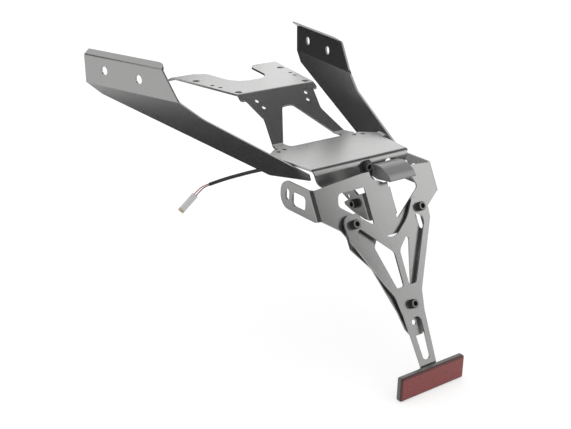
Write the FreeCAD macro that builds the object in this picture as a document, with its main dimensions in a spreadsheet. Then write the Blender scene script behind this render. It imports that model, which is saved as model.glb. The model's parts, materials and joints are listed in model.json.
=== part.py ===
import FreeCAD, Part
import math
import os
import Sketcher
from FreeCAD import Placement, Rotation, Vector

# Tail tidy for a motorcycle: a folded tray bracket under the seat, two side arms, and a folded
# licence plate bracket with its brace, lamp and reflector.
# Millimetres, +X to the bike's right, +Y forwards, +Z up. The origin is on the centre plane, in the
# upper plate's top face, midway between the two front bolt holes.

# Driving sizes, each written once. Angles are in degrees, radii are of the outline as drawn.
SIZES = {
    # sheet and fits
    "tray_gauge": 2.5,
    "arm_gauge": 2.5,
    "plate_gauge": 2.0,
    "brace_gauge": 2.0,
    "bend_inside": 2.0,
    "weld_gap": 0.3,
    "hole_play": 0.25,
    # upper plate of the tray bracket
    "front_edge": 31.0,
    "front_half": 79.0,
    "side_taper": 0.204,
    "lip_length": 11.5,
    "lip_drop": 23.0,
    "upper_back": 77.7,
    "ear_half": 57.5,
    "ear_back": 86.6,
    "ear_round": 3.0,
    "neck_half": 50.2,
    "horn_inner": 48.5,
    "throat_front": 23.0,
    "throat_half": 34.0,
    "throat_round": 8.0,
    "bay_half": 25.5,
    "bay_back": 31.0,
    "bay_round": 24.0,
    "front_hole_x": 64.2,
    "rear_hole_x": 50.0,
    "rear_hole_y": 71.0,
    "bolt_hole": 4.5,
    "small_hole": 2.5,
    "small_one_x": 59.0,
    "small_one_y": 28.2,
    "small_two_x": 56.2,
    "small_two_y": 41.2,
    # inclined plate and its window
    "slope": 34.0,
    "tray_drop": 45.0,
    "waist_half": 42.4,
    "waist_back": 112.5,
    "waist_round": 9.0,
    "window_top": 101.0,
    "window_top_half": 7.5,
    "window_half": 39.5,
    "window_kink": 146.8,
    "window_back": 160.0,
    "window_round": 6.5,
    "slope_hole_far": 25.9,
    "slope_hole_near": 14.8,
    "slope_hole_far_x": 32.9,
    "slope_hole_near_x": 36.5,
    # tray, its ears, rolled rear edge and flange
    "foot_half": 56.6,
    "foot_back": 154.6,
    "foot_round": 6.0,
    "ear_from": 183.5,
    "ear_to": 201.0,
    "shoulder_back": 192.0,
    "tray_half": 75.5,
    "tray_rear_half": 69.8,
    "tray_back": 236.0,
    "facet": 3.7,
    "flange_deep": 23.0,
    "flange_top_half": 68.5,
    "flange_low_half": 60.5,
    "flange_round": 13.0,
    "tray_hole_a_x": 59.1,
    "tray_hole_a_y": 158.6,
    "tray_hole_b_x": 51.8,
    "tray_hole_b_y": 165.3,
    "tray_hole_c_x": 62.4,
    "tray_hole_c_y": 168.5,
    # side arms, in their own frame: outwards, forwards, up
    "arm_x": 144.2,
    "arm_y": 0.8,
    "arm_toe": 12.9,
    "arm_pitch": 1.9,
    "arm_hole": 5.5,
    "arm_hole_gap": 61.3,
    "arm_hole_rear_z": 13.0,
    "arm_hole_front_z": 14.9,
    "arm_fold": 31.0,
    "arm_bend": 4.0,
    "arm_lean": 20.7,
    "strip_low": 90.0,
    "arm_lip": 10.0,
    "arm_lip_rise": 35.0,
    "arm_front": 97.5,
    "arm_chin": 10.5,
    "arm_chin_round": 14.0,
    "arm_heel_y": 180.0,
    "arm_heel_z": 74.6,
    "arm_heel_round": 12.0,
    "arm_end": 240.0,
    "arm_end_low": 67.9,
    "arm_end_high": 60.2,
    "arm_neck_y": 97.0,
    "arm_neck_z": 19.7,
    "arm_rear_top": 39.8,
    "arm_rear_low": 65.0,
    "arm_lip_back": 29.5,
    # licence bracket, in its own upright frame: right, forwards, up from the fold's top
    "plate_y": 259.9,
    "plate_z": 58.8,
    "plate_tilt": 28.0,
    "plate_half": 88.0,
    "fold_high": 34.0,
    "crown": 5.6,
    "wing_long": 52.4,
    "wing_deep": 32.5,
    "wing_round": 14.5,
    "slot_ahead": 40.0,
    "slot_down": 15.4,
    "slot_wide": 6.5,
    "slot_high": 12.6,
    "lamp_hole_ahead": 19.5,
    "lamp_hole_down": 17.4,
    "lamp_hole_wide": 22.5,
    "lamp_hole_high": 16.0,
    "lamp_hole_round": 4.5,
    "cut_top": 9.6,
    "cut_half": 53.5,
    "cut_side": 57.8,
    "cut_side_down": 23.0,
    "cut_low": 52.4,
    "cut_round": 6.0,
    "hip_half": 62.5,
    "hip_down": 49.0,
    "hip_in": 57.2,
    "hip_low": 58.0,
    "knee_down": 71.0,
    "leg_half": 36.5,
    "leg_down": 97.0,
    "shin_half": 18.3,
    "shin_down": 150.5,
    "ankle_half": 14.3,
    "ankle_down": 170.7,
    "tail_half": 8.0,
    "tail_down": 181.0,
    "eye_top": 67.3,
    "eye_shoulder": 19.5,
    "eye_half": 25.3,
    "eye_half_down": 76.0,
    "eye_low": 131.0,
    "eye_low_half": 8.3,
    "tail_hole_down": 166.2,
    "tail_hole": 3.0,
    "flap_half": 20.5,
    "flap_top": 15.5,
    "flap_low": 46.5,
    "flap_reach": 44.0,
    "flap_tip": 36.6,
    "flap_tip_down": 18.3,
    "flap_chin": 21.5,
    "flap_heel": 26.3,
    "flap_heel_down": 31.3,
    "pivot_ahead": 17.6,
    "pivot_down": 23.7,
    # hinge bracket under the tray
    "hinge_front": 172.0,
    "hinge_back": 190.5,
    "hinge_chin": 12.0,
    "hinge_chin_round": 4.0,
    "hinge_tail_round": 7.0,
    "hinge_under": 11.5,
    "hinge_gauge": 2.5,
    "hinge_taper": 0.476,
    "hinge_tail": 9.8,
    "lug_hole_y": 240.3,
    "lug_hole_z": 84.9,
    "lug_hole": 2.5,
    # reflector bracket standing off the licence bracket
    "spacer_high": 3.0,
    "spacer_out": 6.0,
    "ear_screw_x": 47.8,
    "ear_screw_down": 45.8,
    "ear_slot_half": 3.5,
    "ear_slot_top": 42.0,
    "ear_slot_low": 70.0,
    "ear_slot_round": 3.45,
    "low_screw_down": 146.0,
    "brace_ear_half": 61.5,
    "brace_ear_top": 34.3,
    "brace_ear_round": 11.5,
    "brace_side_half": 58.5,
    "brace_side_down": 60.0,
    "brace_hip_half": 19.5,
    "brace_hip_down": 134.0,
    "brace_shin_half": 15.2,
    "brace_shin_down": 156.0,
    "brace_foot_half": 11.4,
    "brace_foot_down": 213.5,
    "brace_foot_long": 26.0,
    "brace_throat_half": 40.0,
    "brace_valley": 69.2,
    "brace_valley_half": 6.0,
    "brace_valley_round": 18.0,
    "brace_flank": 53.5,
    "brace_flank_half": 27.5,
    "brace_flank_round": 50.0,
    "brace_cut_in_x": 41.5,
    "brace_cut_in_down": 51.5,
    "brace_cut_out_x": 48.6,
    "brace_cut_out_down": 56.5,
    "brace_cut_low_x": 14.6,
    "brace_cut_low_down": 125.0,
    "brace_rib_half": 4.0,
    "brace_rib_down": 86.0,
    "brace_slot_top": 160.5,
    "brace_slot_low": 208.0,
    "brace_slot_top_half": 7.6,
    "brace_slot_low_half": 5.0,
    # reflector
    "reflector_wide": 94.0,
    "reflector_high": 28.0,
    "reflector_deep": 5.0,
    "reflector_boss": 1.8,
    "reflector_boss_out": 6.0,
    "stud_down": 14.2,
    "reflector_round": 2.0,
    "reflector_rim": 1.2,
    "lens_seat": 1.2,
    "lens_thick": 2.2,
    "lens_bevel": 1.2,
    "lens_play": 0.2,
    "stud": 2.5,
    "stud_long": 11.0,
    # fasteners: head radius, head height, shank radius, nut across flats and height
    "head": 5.0,
    "head_high": 6.0,
    "shank": 3.0,
    "socket_flats": 5.0,
    "nut_flats": 10.0,
    "nut_high": 5.0,
    "washer": 6.0,
    "washer_high": 1.2,
    "thread_past": 1.5,
    "small_nut_flats": 8.0,
    "small_nut_high": 4.0,
    # licence plate lamp on the tray's rear flange
    "lamp_left": 13.0,
    "lamp_long": 38.0,
    "lamp_plate_left": 3.0,
    "lamp_plate_gauge": 1.5,
    "lamp_plate_top": 53.6,
    "lamp_plate_low": 66.5,
    "lamp_tab_top": 46.5,
    "lamp_tab_low": 59.0,
    "lamp_tab_right": 10.0,
    "lamp_top": 52.6,
    "brow_out": 13.0,
    "brow": 50.8,
    "cheek_out": 27.5,
    "cheek_down": 58.0,
    "tip_out": 31.8,
    "lamp_tip": 63.8,
    "chin_out": 9.0,
    "chin": 67.9,
    "hood_gauge": 1.2,
    "cheek": 1.8,
    "cheek_sunk": 0.5,
    "window_thick": 1.5,
    "lamp_screw_x": 3.5,
    "lamp_screw_z": 52.5,
    "cable_hole_x": 38.0,
    "cable_hole_z": 55.6,
    "cable_hole": 5.0,
    "notch_left": 5.2,
    "notch_play": 2.5,
    # cable and connector
    "cable": 2.25,
    "wire": 0.7,
    "wire_apart": 1.1,
    "connector_long": 29.0,
    "connector_wide": 7.5,
    "connector_thick": 5.2,
}

doc = FreeCAD.newDocument("tail_tidy")
sheet = doc.addObject("Spreadsheet::Sheet", "Sizes")
for row, (alias, number) in enumerate(SIZES.items(), start=1):
    sheet.set("A%d" % row, alias)
    sheet.set("B%d" % row, str(number))
    sheet.setAlias("B%d" % row, alias)
doc.recompute()


class Size:
    """A length or an angle: its number, and the same sum written for a cell expression."""

    def __init__(self, number, text):
        self.number = float(number)
        self.text = text

    def __add__(self, other):
        other = sized(other)
        return Size(self.number + other.number, "(%s + %s)" % (self.text, other.text))

    def __radd__(self, other):
        return sized(other) + self

    def __sub__(self, other):
        other = sized(other)
        return Size(self.number - other.number, "(%s - %s)" % (self.text, other.text))

    def __rsub__(self, other):
        return sized(other) - self

    def __mul__(self, other):
        other = sized(other)
        return Size(self.number * other.number, "(%s * %s)" % (self.text, other.text))

    def __rmul__(self, other):
        return sized(other) * self

    def __truediv__(self, other):
        other = sized(other)
        return Size(self.number / other.number, "(%s / %s)" % (self.text, other.text))

    def __neg__(self):
        return Size(-self.number, "(0 - %s)" % self.text)


def sized(value):
    """A plain number as a Size, and a Size as it is."""
    if isinstance(value, Size):
        return value
    return Size(value, "%.10g" % value)


def cell(alias):
    """The sheet's cell of this name."""
    return Size(SIZES[alias], "Sizes." + alias)


def sin_of(angle):
    return Size(math.sin(math.radians(angle.number)), "sin(%s)" % angle.text)


def cos_of(angle):
    return Size(math.cos(math.radians(angle.number)), "cos(%s)" % angle.text)


def tan_of(angle):
    return Size(math.tan(math.radians(angle.number)), "tan(%s)" % angle.text)


def origin_plane(body, role):
    """One of the body's own origin planes."""
    return [item for item in body.Origin.OriginFeatures if item.Role == role][0]


def new_sketch(body, name, role, move=(0, 0, 0), tilt=None):
    """A sketch on one of the body's planes, moved along its axes and tilted about its own X."""
    sketch = body.newObject("Sketcher::SketchObject", name)
    sketch.AttachmentSupport = [(origin_plane(body, role), "")]
    sketch.MapMode = "FlatFace"
    move = [sized(part) for part in move]
    turn = Rotation(Vector(1, 0, 0), tilt.number if tilt else 0)
    sketch.AttachmentOffset = Placement(Vector(*[part.number for part in move]), turn)
    for axis, part in zip("xyz", move):
        sketch.setExpression("AttachmentOffset.Base." + axis, part.text)
    if tilt:
        sketch.setExpression("AttachmentOffset.Rotation.Angle", tilt.text)
    return sketch


def bind(sketch, constraint, size):
    """Adds a size to the sketch and ties it to its cell expression."""
    index = sketch.addConstraint(constraint)
    sketch.setExpression("Constraints[%d]" % index, size.text)


def pin_point(sketch, geometry, vertex, x, y):
    """Fixes a point of the sketch at x, y."""
    bind(sketch, Sketcher.Constraint("DistanceX", -1, 1, geometry, vertex, x.number), x)
    bind(sketch, Sketcher.Constraint("DistanceY", -1, 1, geometry, vertex, y.number), y)


def add_outline(sketch, corners):
    """Draws a closed outline from corners (x, y) or (x, y, radius), each radius a tangent arc."""
    corners = [tuple(sized(part) for part in corner) for corner in corners]
    points = [Vector(corner[0].number, corner[1].number, 0) for corner in corners]
    count = len(corners)
    joints = []
    for index, corner in enumerate(corners):
        here, before, after = points[index], points[index - 1], points[(index + 1) % count]
        if len(corner) < 3:
            joints.append((here, here, None))
            continue
        radius = corner[2].number
        towards, away = (before - here).normalize(), (after - here).normalize()
        half = towards.getAngle(away) / 2
        reach = radius / math.tan(half)
        centre = here + (towards + away).normalize() * (radius / math.sin(half))
        joints.append((here + towards * reach, here + away * reach, centre))
    lines = [
        sketch.addGeometry(Part.LineSegment(joints[index][1], joints[(index + 1) % count][0]))
        for index in range(count)
    ]
    for index, corner in enumerate(corners):
        start, stop, centre = joints[index]
        inward, outward = lines[index - 1], lines[index]
        if centre is None:
            sketch.addConstraint(Sketcher.Constraint("Coincident", inward, 2, outward, 1))
            pin_point(sketch, outward, 1, corner[0], corner[1])
            continue
        first, last = start - centre, stop - centre
        angles = [math.atan2(first.y, first.x), math.atan2(last.y, last.x)]
        ends = (1, 2)
        if first.cross(last).z < 0:
            angles.reverse()
            ends = (2, 1)
        circle = Part.Circle(centre, Vector(0, 0, 1), corner[2].number)
        arc = sketch.addGeometry(Part.ArcOfCircle(circle, angles[0], angles[1]))
        mark = sketch.addGeometry(Part.Point(points[index]), True)
        sketch.addConstraint(Sketcher.Constraint("Tangent", inward, 2, arc, ends[0]))
        sketch.addConstraint(Sketcher.Constraint("Tangent", arc, ends[1], outward, 1))
        sketch.addConstraint(Sketcher.Constraint("PointOnObject", mark, 1, inward))
        sketch.addConstraint(Sketcher.Constraint("PointOnObject", mark, 1, outward))
        bind(sketch, Sketcher.Constraint("Radius", arc, corner[2].number), corner[2])
        pin_point(sketch, mark, 1, corner[0], corner[1])


def add_circle(sketch, x, y, radius):
    """Draws a circle about x, y."""
    x, y, radius = sized(x), sized(y), sized(radius)
    circle = Part.Circle(Vector(x.number, y.number, 0), Vector(0, 0, 1), radius.number)
    index = sketch.addGeometry(circle)
    pin_point(sketch, index, 3, x, y)
    bind(sketch, Sketcher.Constraint("Radius", index, radius.number), radius)


def add_frame(sketch, left, low, right, high):
    """Draws a rectangle round an outline, so that what lies between the two is cut away."""
    add_outline(sketch, [(left, low), (right, low), (right, high), (left, high)])


def mirrored(half):
    """An outline's right half, followed by its mirror image in reverse order."""
    other = [(-sized(corner[0]),) + tuple(corner[1:]) for corner in reversed(half)]
    return list(half) + other


def pad(body, name, sketch, length, reverse=False, both=False):
    """Adds the sketch's area, over this length, to the body."""
    feature = body.newObject("PartDesign::Pad", name)
    feature.Profile = sketch
    length = sized(length)
    feature.Length = length.number
    feature.setExpression("Length", length.text)
    feature.Midplane = both
    feature.Reversed = reverse
    return feature


def pocket(body, name, sketch, length=None, reverse=False, both=False):
    """Cuts the sketch's area out of the body, over this length or right through both ways."""
    doc.recompute()
    before = body.Shape.Volume
    feature = body.newObject("PartDesign::Pocket", name)
    feature.Profile = sketch
    if length is None:
        feature.Type = 1
        feature.Midplane = True
    else:
        length = sized(length)
        feature.Length = length.number
        feature.setExpression("Length", length.text)
        feature.Reversed = reverse
        feature.Midplane = both
    doc.recompute()
    if not body.Shape.Volume < before:
        raise RuntimeError("the pocket %s cuts nothing" % name)
    return feature


def new_body(name):
    body = doc.addObject("PartDesign::Body", name)
    body.Label = name
    return body


subparts = {}


def keep(name, item):
    """Names the object that is this sub-part's final shape."""
    item.Label = name
    subparts[name] = item
    return item


# Main bracket: upper plate, inclined plate with its window, tray, rolled rear edge and flange
gauge = cell("tray_gauge")
slope_run = cell("tray_drop") / tan_of(cell("slope"))
tray_top = -cell("tray_drop")
facet = cell("facet")
thirty, sixty = sized(30), sized(60)
flange_face = -(cell("tray_back") + facet * cos_of(thirty) + facet * cos_of(sixty))
flange_foot = tray_top - cell("flange_deep")

main_bracket = new_body("main_bracket")
section = new_sketch(main_bracket, "tray_section", "YZ_Plane")
half_slope = cell("slope") / 2
shift = gauge * tan_of(half_slope)
lip_turn = cell("lip_drop") / 2
lip_shift = gauge * tan_of(lip_turn)
lip_y = cell("front_edge") + cell("lip_length") * cos_of(cell("lip_drop"))
lip_z = -cell("lip_length") * sin_of(cell("lip_drop"))
bend, bend_out = cell("bend_inside"), cell("bend_inside") + gauge
seat_y = -(cell("upper_back") + slope_run)
rear_one = -(cell("tray_back"))
rear_two = rear_one - facet * cos_of(thirty)
z_two = tray_top - facet * sin_of(thirty)
z_three = z_two - facet * sin_of(sixty)
roll_shift = gauge * tan_of(sized(15))
roll_reach = gauge * sin_of(sized(45)) / cos_of(sized(15))
add_outline(section, [
    (lip_y, lip_z),
    (cell("front_edge"), 0, bend_out),
    (-cell("upper_back"), 0, bend_out),
    (seat_y, tray_top, bend),
    (rear_one, tray_top, bend_out),
    (rear_two, z_two, bend_out),
    (flange_face, z_three, bend_out),
    (flange_face, flange_foot),
    (flange_face + gauge, flange_foot),
    (flange_face + gauge, z_three - roll_shift, bend),
    (rear_two + roll_reach, z_two - roll_reach, bend),
    (rear_one + roll_shift, tray_top - gauge, bend),
    (seat_y - shift, tray_top - gauge, bend_out),
    (-cell("upper_back") - shift, -gauge, bend),
    (cell("front_edge") - lip_shift, -gauge, bend),
    (lip_y - gauge * sin_of(cell("lip_drop")), lip_z - gauge * cos_of(cell("lip_drop"))),
])
pad(main_bracket, "folded_tray", section, cell("front_half") * 3, both=True)

def arm_inner(along, level):
    """World x, y of the arm's inner face at this distance along the arm and this world height."""
    inward = ((along * sin_of(pitch) + level * cos_of(pitch) + cell("arm_bend")) * tan_of(lean)
              - cell("arm_gauge") / cos_of(lean))
    x = cell("arm_x") + along * sin_of(toe) + inward * cos_of(toe)
    y = -cell("arm_y") + along * cos_of(toe) - inward * sin_of(toe)
    return x, y


toe, pitch, lean = cell("arm_toe"), cell("arm_pitch"), cell("arm_lean")
tray_under = tray_top - gauge
ear_front = arm_inner(-cell("ear_from"), tray_under)
ear_rear = arm_inner(-cell("ear_to"), tray_under)
side_at_ear = cell("front_half") - (cell("front_edge") + cell("upper_back")) * cell("side_taper")
planform = new_sketch(main_bracket, "planform", "XY_Plane")
outside = 3 * cell("front_half")
add_frame(planform, -outside, -outside - 50, outside, outside)
add_outline(planform, mirrored([
    (cell("bay_half"), -cell("bay_back"), cell("bay_round")),
    (cell("throat_half"), cell("throat_front"), cell("throat_round")),
    (cell("horn_inner"), cell("front_edge")),
    (cell("horn_inner"), cell("front_edge") + 2 * cell("lip_length")),
    (cell("front_half"), cell("front_edge") + 2 * cell("lip_length")),
    (cell("front_half"), cell("front_edge")),
    (side_at_ear, -cell("upper_back")),
    (cell("ear_half"), -cell("ear_back"), cell("ear_round")),
    (cell("neck_half"), -cell("ear_back")),
    (cell("waist_half"), -cell("waist_back"), cell("waist_round")),
    (cell("foot_half"), -cell("foot_back"), cell("foot_round")),
    (ear_front[0] - cell("weld_gap"), ear_front[1]),
    (ear_rear[0] - cell("weld_gap"), ear_rear[1]),
    (cell("tray_half"), -cell("shoulder_back")),
    (cell("tray_rear_half"), -cell("tray_back")),
    (cell("tray_rear_half"), -cell("tray_back") - 20),
]))
pocket(main_bracket, "trim_planform", planform)

flange_cut = new_sketch(main_bracket, "flange_outline", "XZ_Plane")
add_outline(flange_cut, [
    (-outside, tray_under), (-outside, 2 * tray_under), (outside, 2 * tray_under),
    (outside, tray_under), (cell("flange_top_half"), tray_under),
    (cell("flange_low_half"), flange_foot, cell("flange_round")),
    (-cell("flange_low_half"), flange_foot, cell("flange_round")),
    (-cell("flange_top_half"), tray_under),
])
pocket(main_bracket, "trim_flange", flange_cut)

openings = new_sketch(main_bracket, "window_and_bolt_holes", "XY_Plane")
add_outline(openings, mirrored([
    (cell("window_top_half"), -cell("window_top"), cell("window_round")),
    (cell("window_half"), -cell("window_kink"), cell("window_round")),
    (cell("window_half"), -cell("window_back"), cell("window_round")),
]))
tray_holes = (
    ("front_hole_x", 0, "bolt_hole"),
    ("small_one_x", -cell("small_one_y"), "small_hole"),
    ("small_two_x", -cell("small_two_y"), "small_hole"),
    ("rear_hole_x", -cell("rear_hole_y"), "bolt_hole"),
    ("tray_hole_a_x", -cell("tray_hole_a_y"), "small_hole"),
    ("tray_hole_b_x", -cell("tray_hole_b_y"), "small_hole"),
    ("tray_hole_c_x", -cell("tray_hole_c_y"), "small_hole"),
)
for across, ahead, radius in tray_holes:
    for side in (1, -1):
        add_circle(openings, side * cell(across), ahead, cell(radius))
pocket(main_bracket, "cut_window_and_holes", openings)

slope_holes = new_sketch(main_bracket, "slope_holes", "XY_Plane",
                         (0, -cell("upper_back"), 0), cell("slope"))
for side in (1, -1):
    for place in ("near", "far"):
        add_circle(slope_holes, side * cell("slope_hole_%s_x" % place),
                   -cell("slope_hole_" + place), cell("small_hole"))
pocket(main_bracket, "cut_slope_holes", slope_holes, 3 * gauge)

lamp_holes = new_sketch(main_bracket, "lamp_holes", "XZ_Plane", (0, 0, -flange_face - 2 * gauge))
add_circle(lamp_holes, cell("lamp_screw_x"), -cell("lamp_screw_z"), cell("shank"))
add_circle(lamp_holes, cell("cable_hole_x"), -cell("cable_hole_z"), cell("cable_hole"))
pocket(main_bracket, "cut_lamp_holes", lamp_holes, 3 * gauge, reverse=True)
keep("main_bracket", main_bracket)

# Side arms: a vertical plate with a lip along its top and a strip leaning inwards below
arm_gauge = cell("arm_gauge")
arm_out = bend + arm_gauge
lip_turn_half = (sized(90) - cell("arm_lip_rise")) / 2
lip_in = cell("arm_lip") * cos_of(cell("arm_lip_rise"))
lip_up = cell("arm_lip") * sin_of(cell("arm_lip_rise"))
strip_low = cell("strip_low")
lean_half = lean / 2
right_arm = new_body("right_arm")
arm_section = new_sketch(right_arm, "arm_section", "XZ_Plane")
add_outline(arm_section, [
    (-lip_in, cell("arm_fold") + lip_up),
    (0, cell("arm_fold"), arm_out),
    (0, -cell("arm_bend"), arm_out),
    (-(strip_low - cell("arm_bend")) * tan_of(lean), -strip_low),
    (-(strip_low - cell("arm_bend")) * tan_of(lean) - arm_gauge / cos_of(lean), -strip_low),
    (-arm_gauge, -cell("arm_bend") + arm_gauge * tan_of(lean_half), bend),
    (-arm_gauge, cell("arm_fold") - arm_gauge * tan_of(lip_turn_half), bend),
    (-lip_in - arm_gauge * sin_of(cell("arm_lip_rise")),
     cell("arm_fold") + lip_up - arm_gauge * cos_of(cell("arm_lip_rise"))),
])
pad(right_arm, "folded_arm", arm_section, 3 * cell("arm_end"), both=True)
arm_outline = new_sketch(right_arm, "arm_outline", "YZ_Plane")
add_frame(arm_outline, -2 * cell("arm_end"), -2 * strip_low, 2 * cell("arm_end"), 2 * strip_low)
add_outline(arm_outline, [
    (cell("arm_front"), cell("arm_fold") + 20),
    (-cell("arm_lip_back"), cell("arm_fold") + 20),
    (-cell("arm_lip_back"), cell("arm_fold") + lip_up),
    (-cell("arm_rear_top"), cell("arm_fold")),
    (-cell("arm_rear_low"), -cell("arm_bend"), 18),
    (-cell("arm_neck_y"), -cell("arm_neck_z"), 60),
    (-cell("arm_end"), -cell("arm_end_high")),
    (-cell("arm_end"), -cell("arm_end_low")),
    (-cell("arm_heel_y"), -cell("arm_heel_z"), cell("arm_heel_round")),
    (cell("arm_front") - 24, -cell("arm_chin") - 6, cell("arm_chin_round")),
    (cell("arm_front") - 0.5, -cell("arm_bend")),
])
pocket(right_arm, "trim_arm", arm_outline)
arm_holes = new_sketch(right_arm, "arm_holes", "YZ_Plane")
add_circle(arm_holes, 0, cell("arm_hole_rear_z"), cell("arm_hole"))
add_circle(arm_holes, cell("arm_hole_gap"), cell("arm_hole_front_z"), cell("arm_hole"))
pocket(right_arm, "cut_arm_holes", arm_holes)
right_arm.Placement = Placement(
    Vector(SIZES["arm_x"], -SIZES["arm_y"], 0),
    Rotation(Vector(0, 0, 1), -SIZES["arm_toe"]) * Rotation(Vector(1, 0, 0), -SIZES["arm_pitch"]))
keep("right_arm", right_arm)


def mirror_copy(name, source):
    """A mirror image of the source across the centre plane."""
    item = doc.addObject("Part::Mirroring", name)
    item.Source = source
    item.Normal = Vector(1, 0, 0)
    item.Base = Vector(0, 0, 0)
    return item


keep("left_arm", mirror_copy("left_arm", right_arm))

# Welds: beads that run along the seams between the tray and the arms, and along the hinge web
def weld_bead(name, start, heading, length, radius, sheets):
    """A bead along a seam, cut back to the faces of the sheets that it joins."""
    bead = doc.addObject("Part::Cylinder", name + "_rod")
    bead.Radius = radius
    bead.Height = length
    bead.Placement = Placement(start, Rotation(Vector(0, 0, 1), heading))
    for index, sheet_metal in enumerate(sheets):
        cut = doc.addObject("Part::Cut", "%s_cut_%d" % (name, index))
        cut.Base = bead
        cut.Tool = sheet_metal
        bead = cut
    return bead


def group(name, members):
    """One node made of several separate solids."""
    item = doc.addObject("Part::Compound", name)
    item.Links = members
    return keep(name, item)


def vector_of(x, y, z):
    return Vector(sized(x).number, sized(y).number, sized(z).number)


seam_level = tray_under + gauge / 2
seam_in = 1.0
seam_start = vector_of(ear_front[0] - seam_in, ear_front[1], seam_level)
seam_stop = vector_of(ear_rear[0] - seam_in, ear_rear[1], seam_level)
seam = seam_stop - seam_start
right_weld = weld_bead("right_arm_weld", seam_start + seam * 0.06, seam, seam.Length * 0.88, 3.0,
                       [main_bracket, right_arm])
group("arm_welds", [right_weld, mirror_copy("left_arm_weld", right_weld)])

# Hinge bracket: a folded web under the tray with two lugs that carry the licence bracket
hinge_gauge = cell("hinge_gauge")
lug_half = cell("flap_half") - cell("plate_gauge")
hinge_bracket = new_body("hinge_bracket")
hinge_section = new_sketch(hinge_bracket, "hinge_section", "XZ_Plane")
hinge_low = 3 * tray_under
add_outline(hinge_section, [
    (lug_half, hinge_low), (lug_half, tray_under, bend + hinge_gauge),
    (-lug_half, tray_under, bend + hinge_gauge), (-lug_half, hinge_low),
    (-lug_half + hinge_gauge, hinge_low), (-lug_half + hinge_gauge, tray_under - hinge_gauge, bend),
    (lug_half - hinge_gauge, tray_under - hinge_gauge, bend), (lug_half - hinge_gauge, hinge_low),
])
pad(hinge_bracket, "folded_hinge", hinge_section, 6 * cell("hinge_back"), both=True)
pivot_y = (-cell("plate_y") + cell("pivot_ahead") * cos_of(cell("plate_tilt"))
           - cell("pivot_down") * sin_of(cell("plate_tilt")))
pivot_z = (-cell("plate_z") - cell("pivot_ahead") * sin_of(cell("plate_tilt"))
           - cell("pivot_down") * cos_of(cell("plate_tilt")))
hinge_outline = new_sketch(hinge_bracket, "hinge_outline", "YZ_Plane")
add_frame(hinge_outline, -4 * cell("hinge_back"), 4 * tray_under, 4 * cell("hinge_back"), -tray_under)
tail_y = pivot_y - cell("hinge_tail")
tail_top = tray_under + (tail_y + cell("hinge_back")) * cell("hinge_taper")
tail_low = pivot_z - cell("hinge_under")
add_outline(hinge_outline, [
    (-cell("hinge_front"), tray_top), (-cell("hinge_back"), tray_top),
    (-cell("hinge_back"), tray_under), (tail_y, tail_top, cell("hinge_tail_round")),
    (tail_y, tail_low, cell("hinge_tail_round")),
    (-cell("hinge_front"), tray_under - cell("hinge_chin"), cell("hinge_chin_round")),
])
pocket(hinge_bracket, "trim_hinge", hinge_outline)
lug_holes = new_sketch(hinge_bracket, "lug_holes", "YZ_Plane")
add_circle(lug_holes, pivot_y, pivot_z, cell("shank") + cell("hole_play"))
add_circle(lug_holes, -cell("lug_hole_y"), -cell("lug_hole_z"), cell("lug_hole"))
pocket(hinge_bracket, "cut_lug_holes", lug_holes)
keep("hinge_bracket", hinge_bracket)
web_long = SIZES["hinge_back"] - SIZES["hinge_front"]
hinge_seams = []
for side in (1, -1):
    start = vector_of(side * (lug_half - 0.8), -cell("hinge_front") - 1.5, tray_under - 0.6)
    hinge_seams.append(weld_bead("hinge_weld_%s" % ("right" if side > 0 else "left"), start,
                                 Vector(0, -1, 0), web_long - 3, 2.0,
                                 [main_bracket, hinge_bracket]))
group("hinge_welds", hinge_seams)

# Licence bracket, drawn upright and then leant back: plate, side wings and hinge flaps
plate_gauge, tilt = cell("plate_gauge"), cell("plate_tilt")
plate_out = bend + plate_gauge
plate_place = Placement(Vector(0, -SIZES["plate_y"], -SIZES["plate_z"]),
                        Rotation(Vector(1, 0, 0), -SIZES["plate_tilt"]))


def from_level(ahead, down):
    """Sketch y, z of a point given level and plumb from the top of the wing's fold."""
    ahead, down = sized(ahead), sized(down)
    return (ahead * cos_of(tilt) + down * sin_of(tilt), ahead * sin_of(tilt) - down * cos_of(tilt))


licence_bracket = new_body("licence_bracket")
wing_section = new_sketch(licence_bracket, "wing_section", "XY_Plane")
plate_half, wing_reach = cell("plate_half"), cell("wing_long") * 1.8
add_outline(wing_section, [
    (-plate_half, wing_reach), (-plate_half, 0, plate_out), (plate_half, 0, plate_out),
    (plate_half, wing_reach), (plate_half - plate_gauge, wing_reach),
    (plate_half - plate_gauge, plate_gauge, bend), (-plate_half + plate_gauge, plate_gauge, bend),
    (-plate_half + plate_gauge, wing_reach),
])
pad(licence_bracket, "folded_plate", wing_section, 2.2 * cell("tail_down"), both=True)
fold_start = plate_half - plate_out
plate_outline = new_sketch(licence_bracket, "plate_outline", "XZ_Plane")
far = 3 * plate_half
add_frame(plate_outline, -far, -far, far, far)
lamp_right = cell("lamp_left") + cell("lamp_long")
add_outline(plate_outline, mirrored([
    (16, cell("crown")), (fold_start, 0), (fold_start, cell("wing_long")),
    (plate_half + 5, cell("wing_long")), (plate_half + 5, -cell("fold_high") - 10),
    (fold_start, -cell("fold_high") - 10), (fold_start, -cell("fold_high")),
    (cell("hip_half"), -cell("hip_down"), 8), (cell("hip_in"), -cell("hip_low"), 5),
    (cell("hip_in"), -cell("knee_down"), 9), (cell("leg_half"), -cell("leg_down"), 9),
    (cell("shin_half"), -cell("shin_down"), 20), (cell("ankle_half"), -cell("ankle_down"), 6),
    (cell("tail_half"), -cell("tail_down"), 5),
]))
pocket(licence_bracket, "trim_plate", plate_outline)
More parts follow.
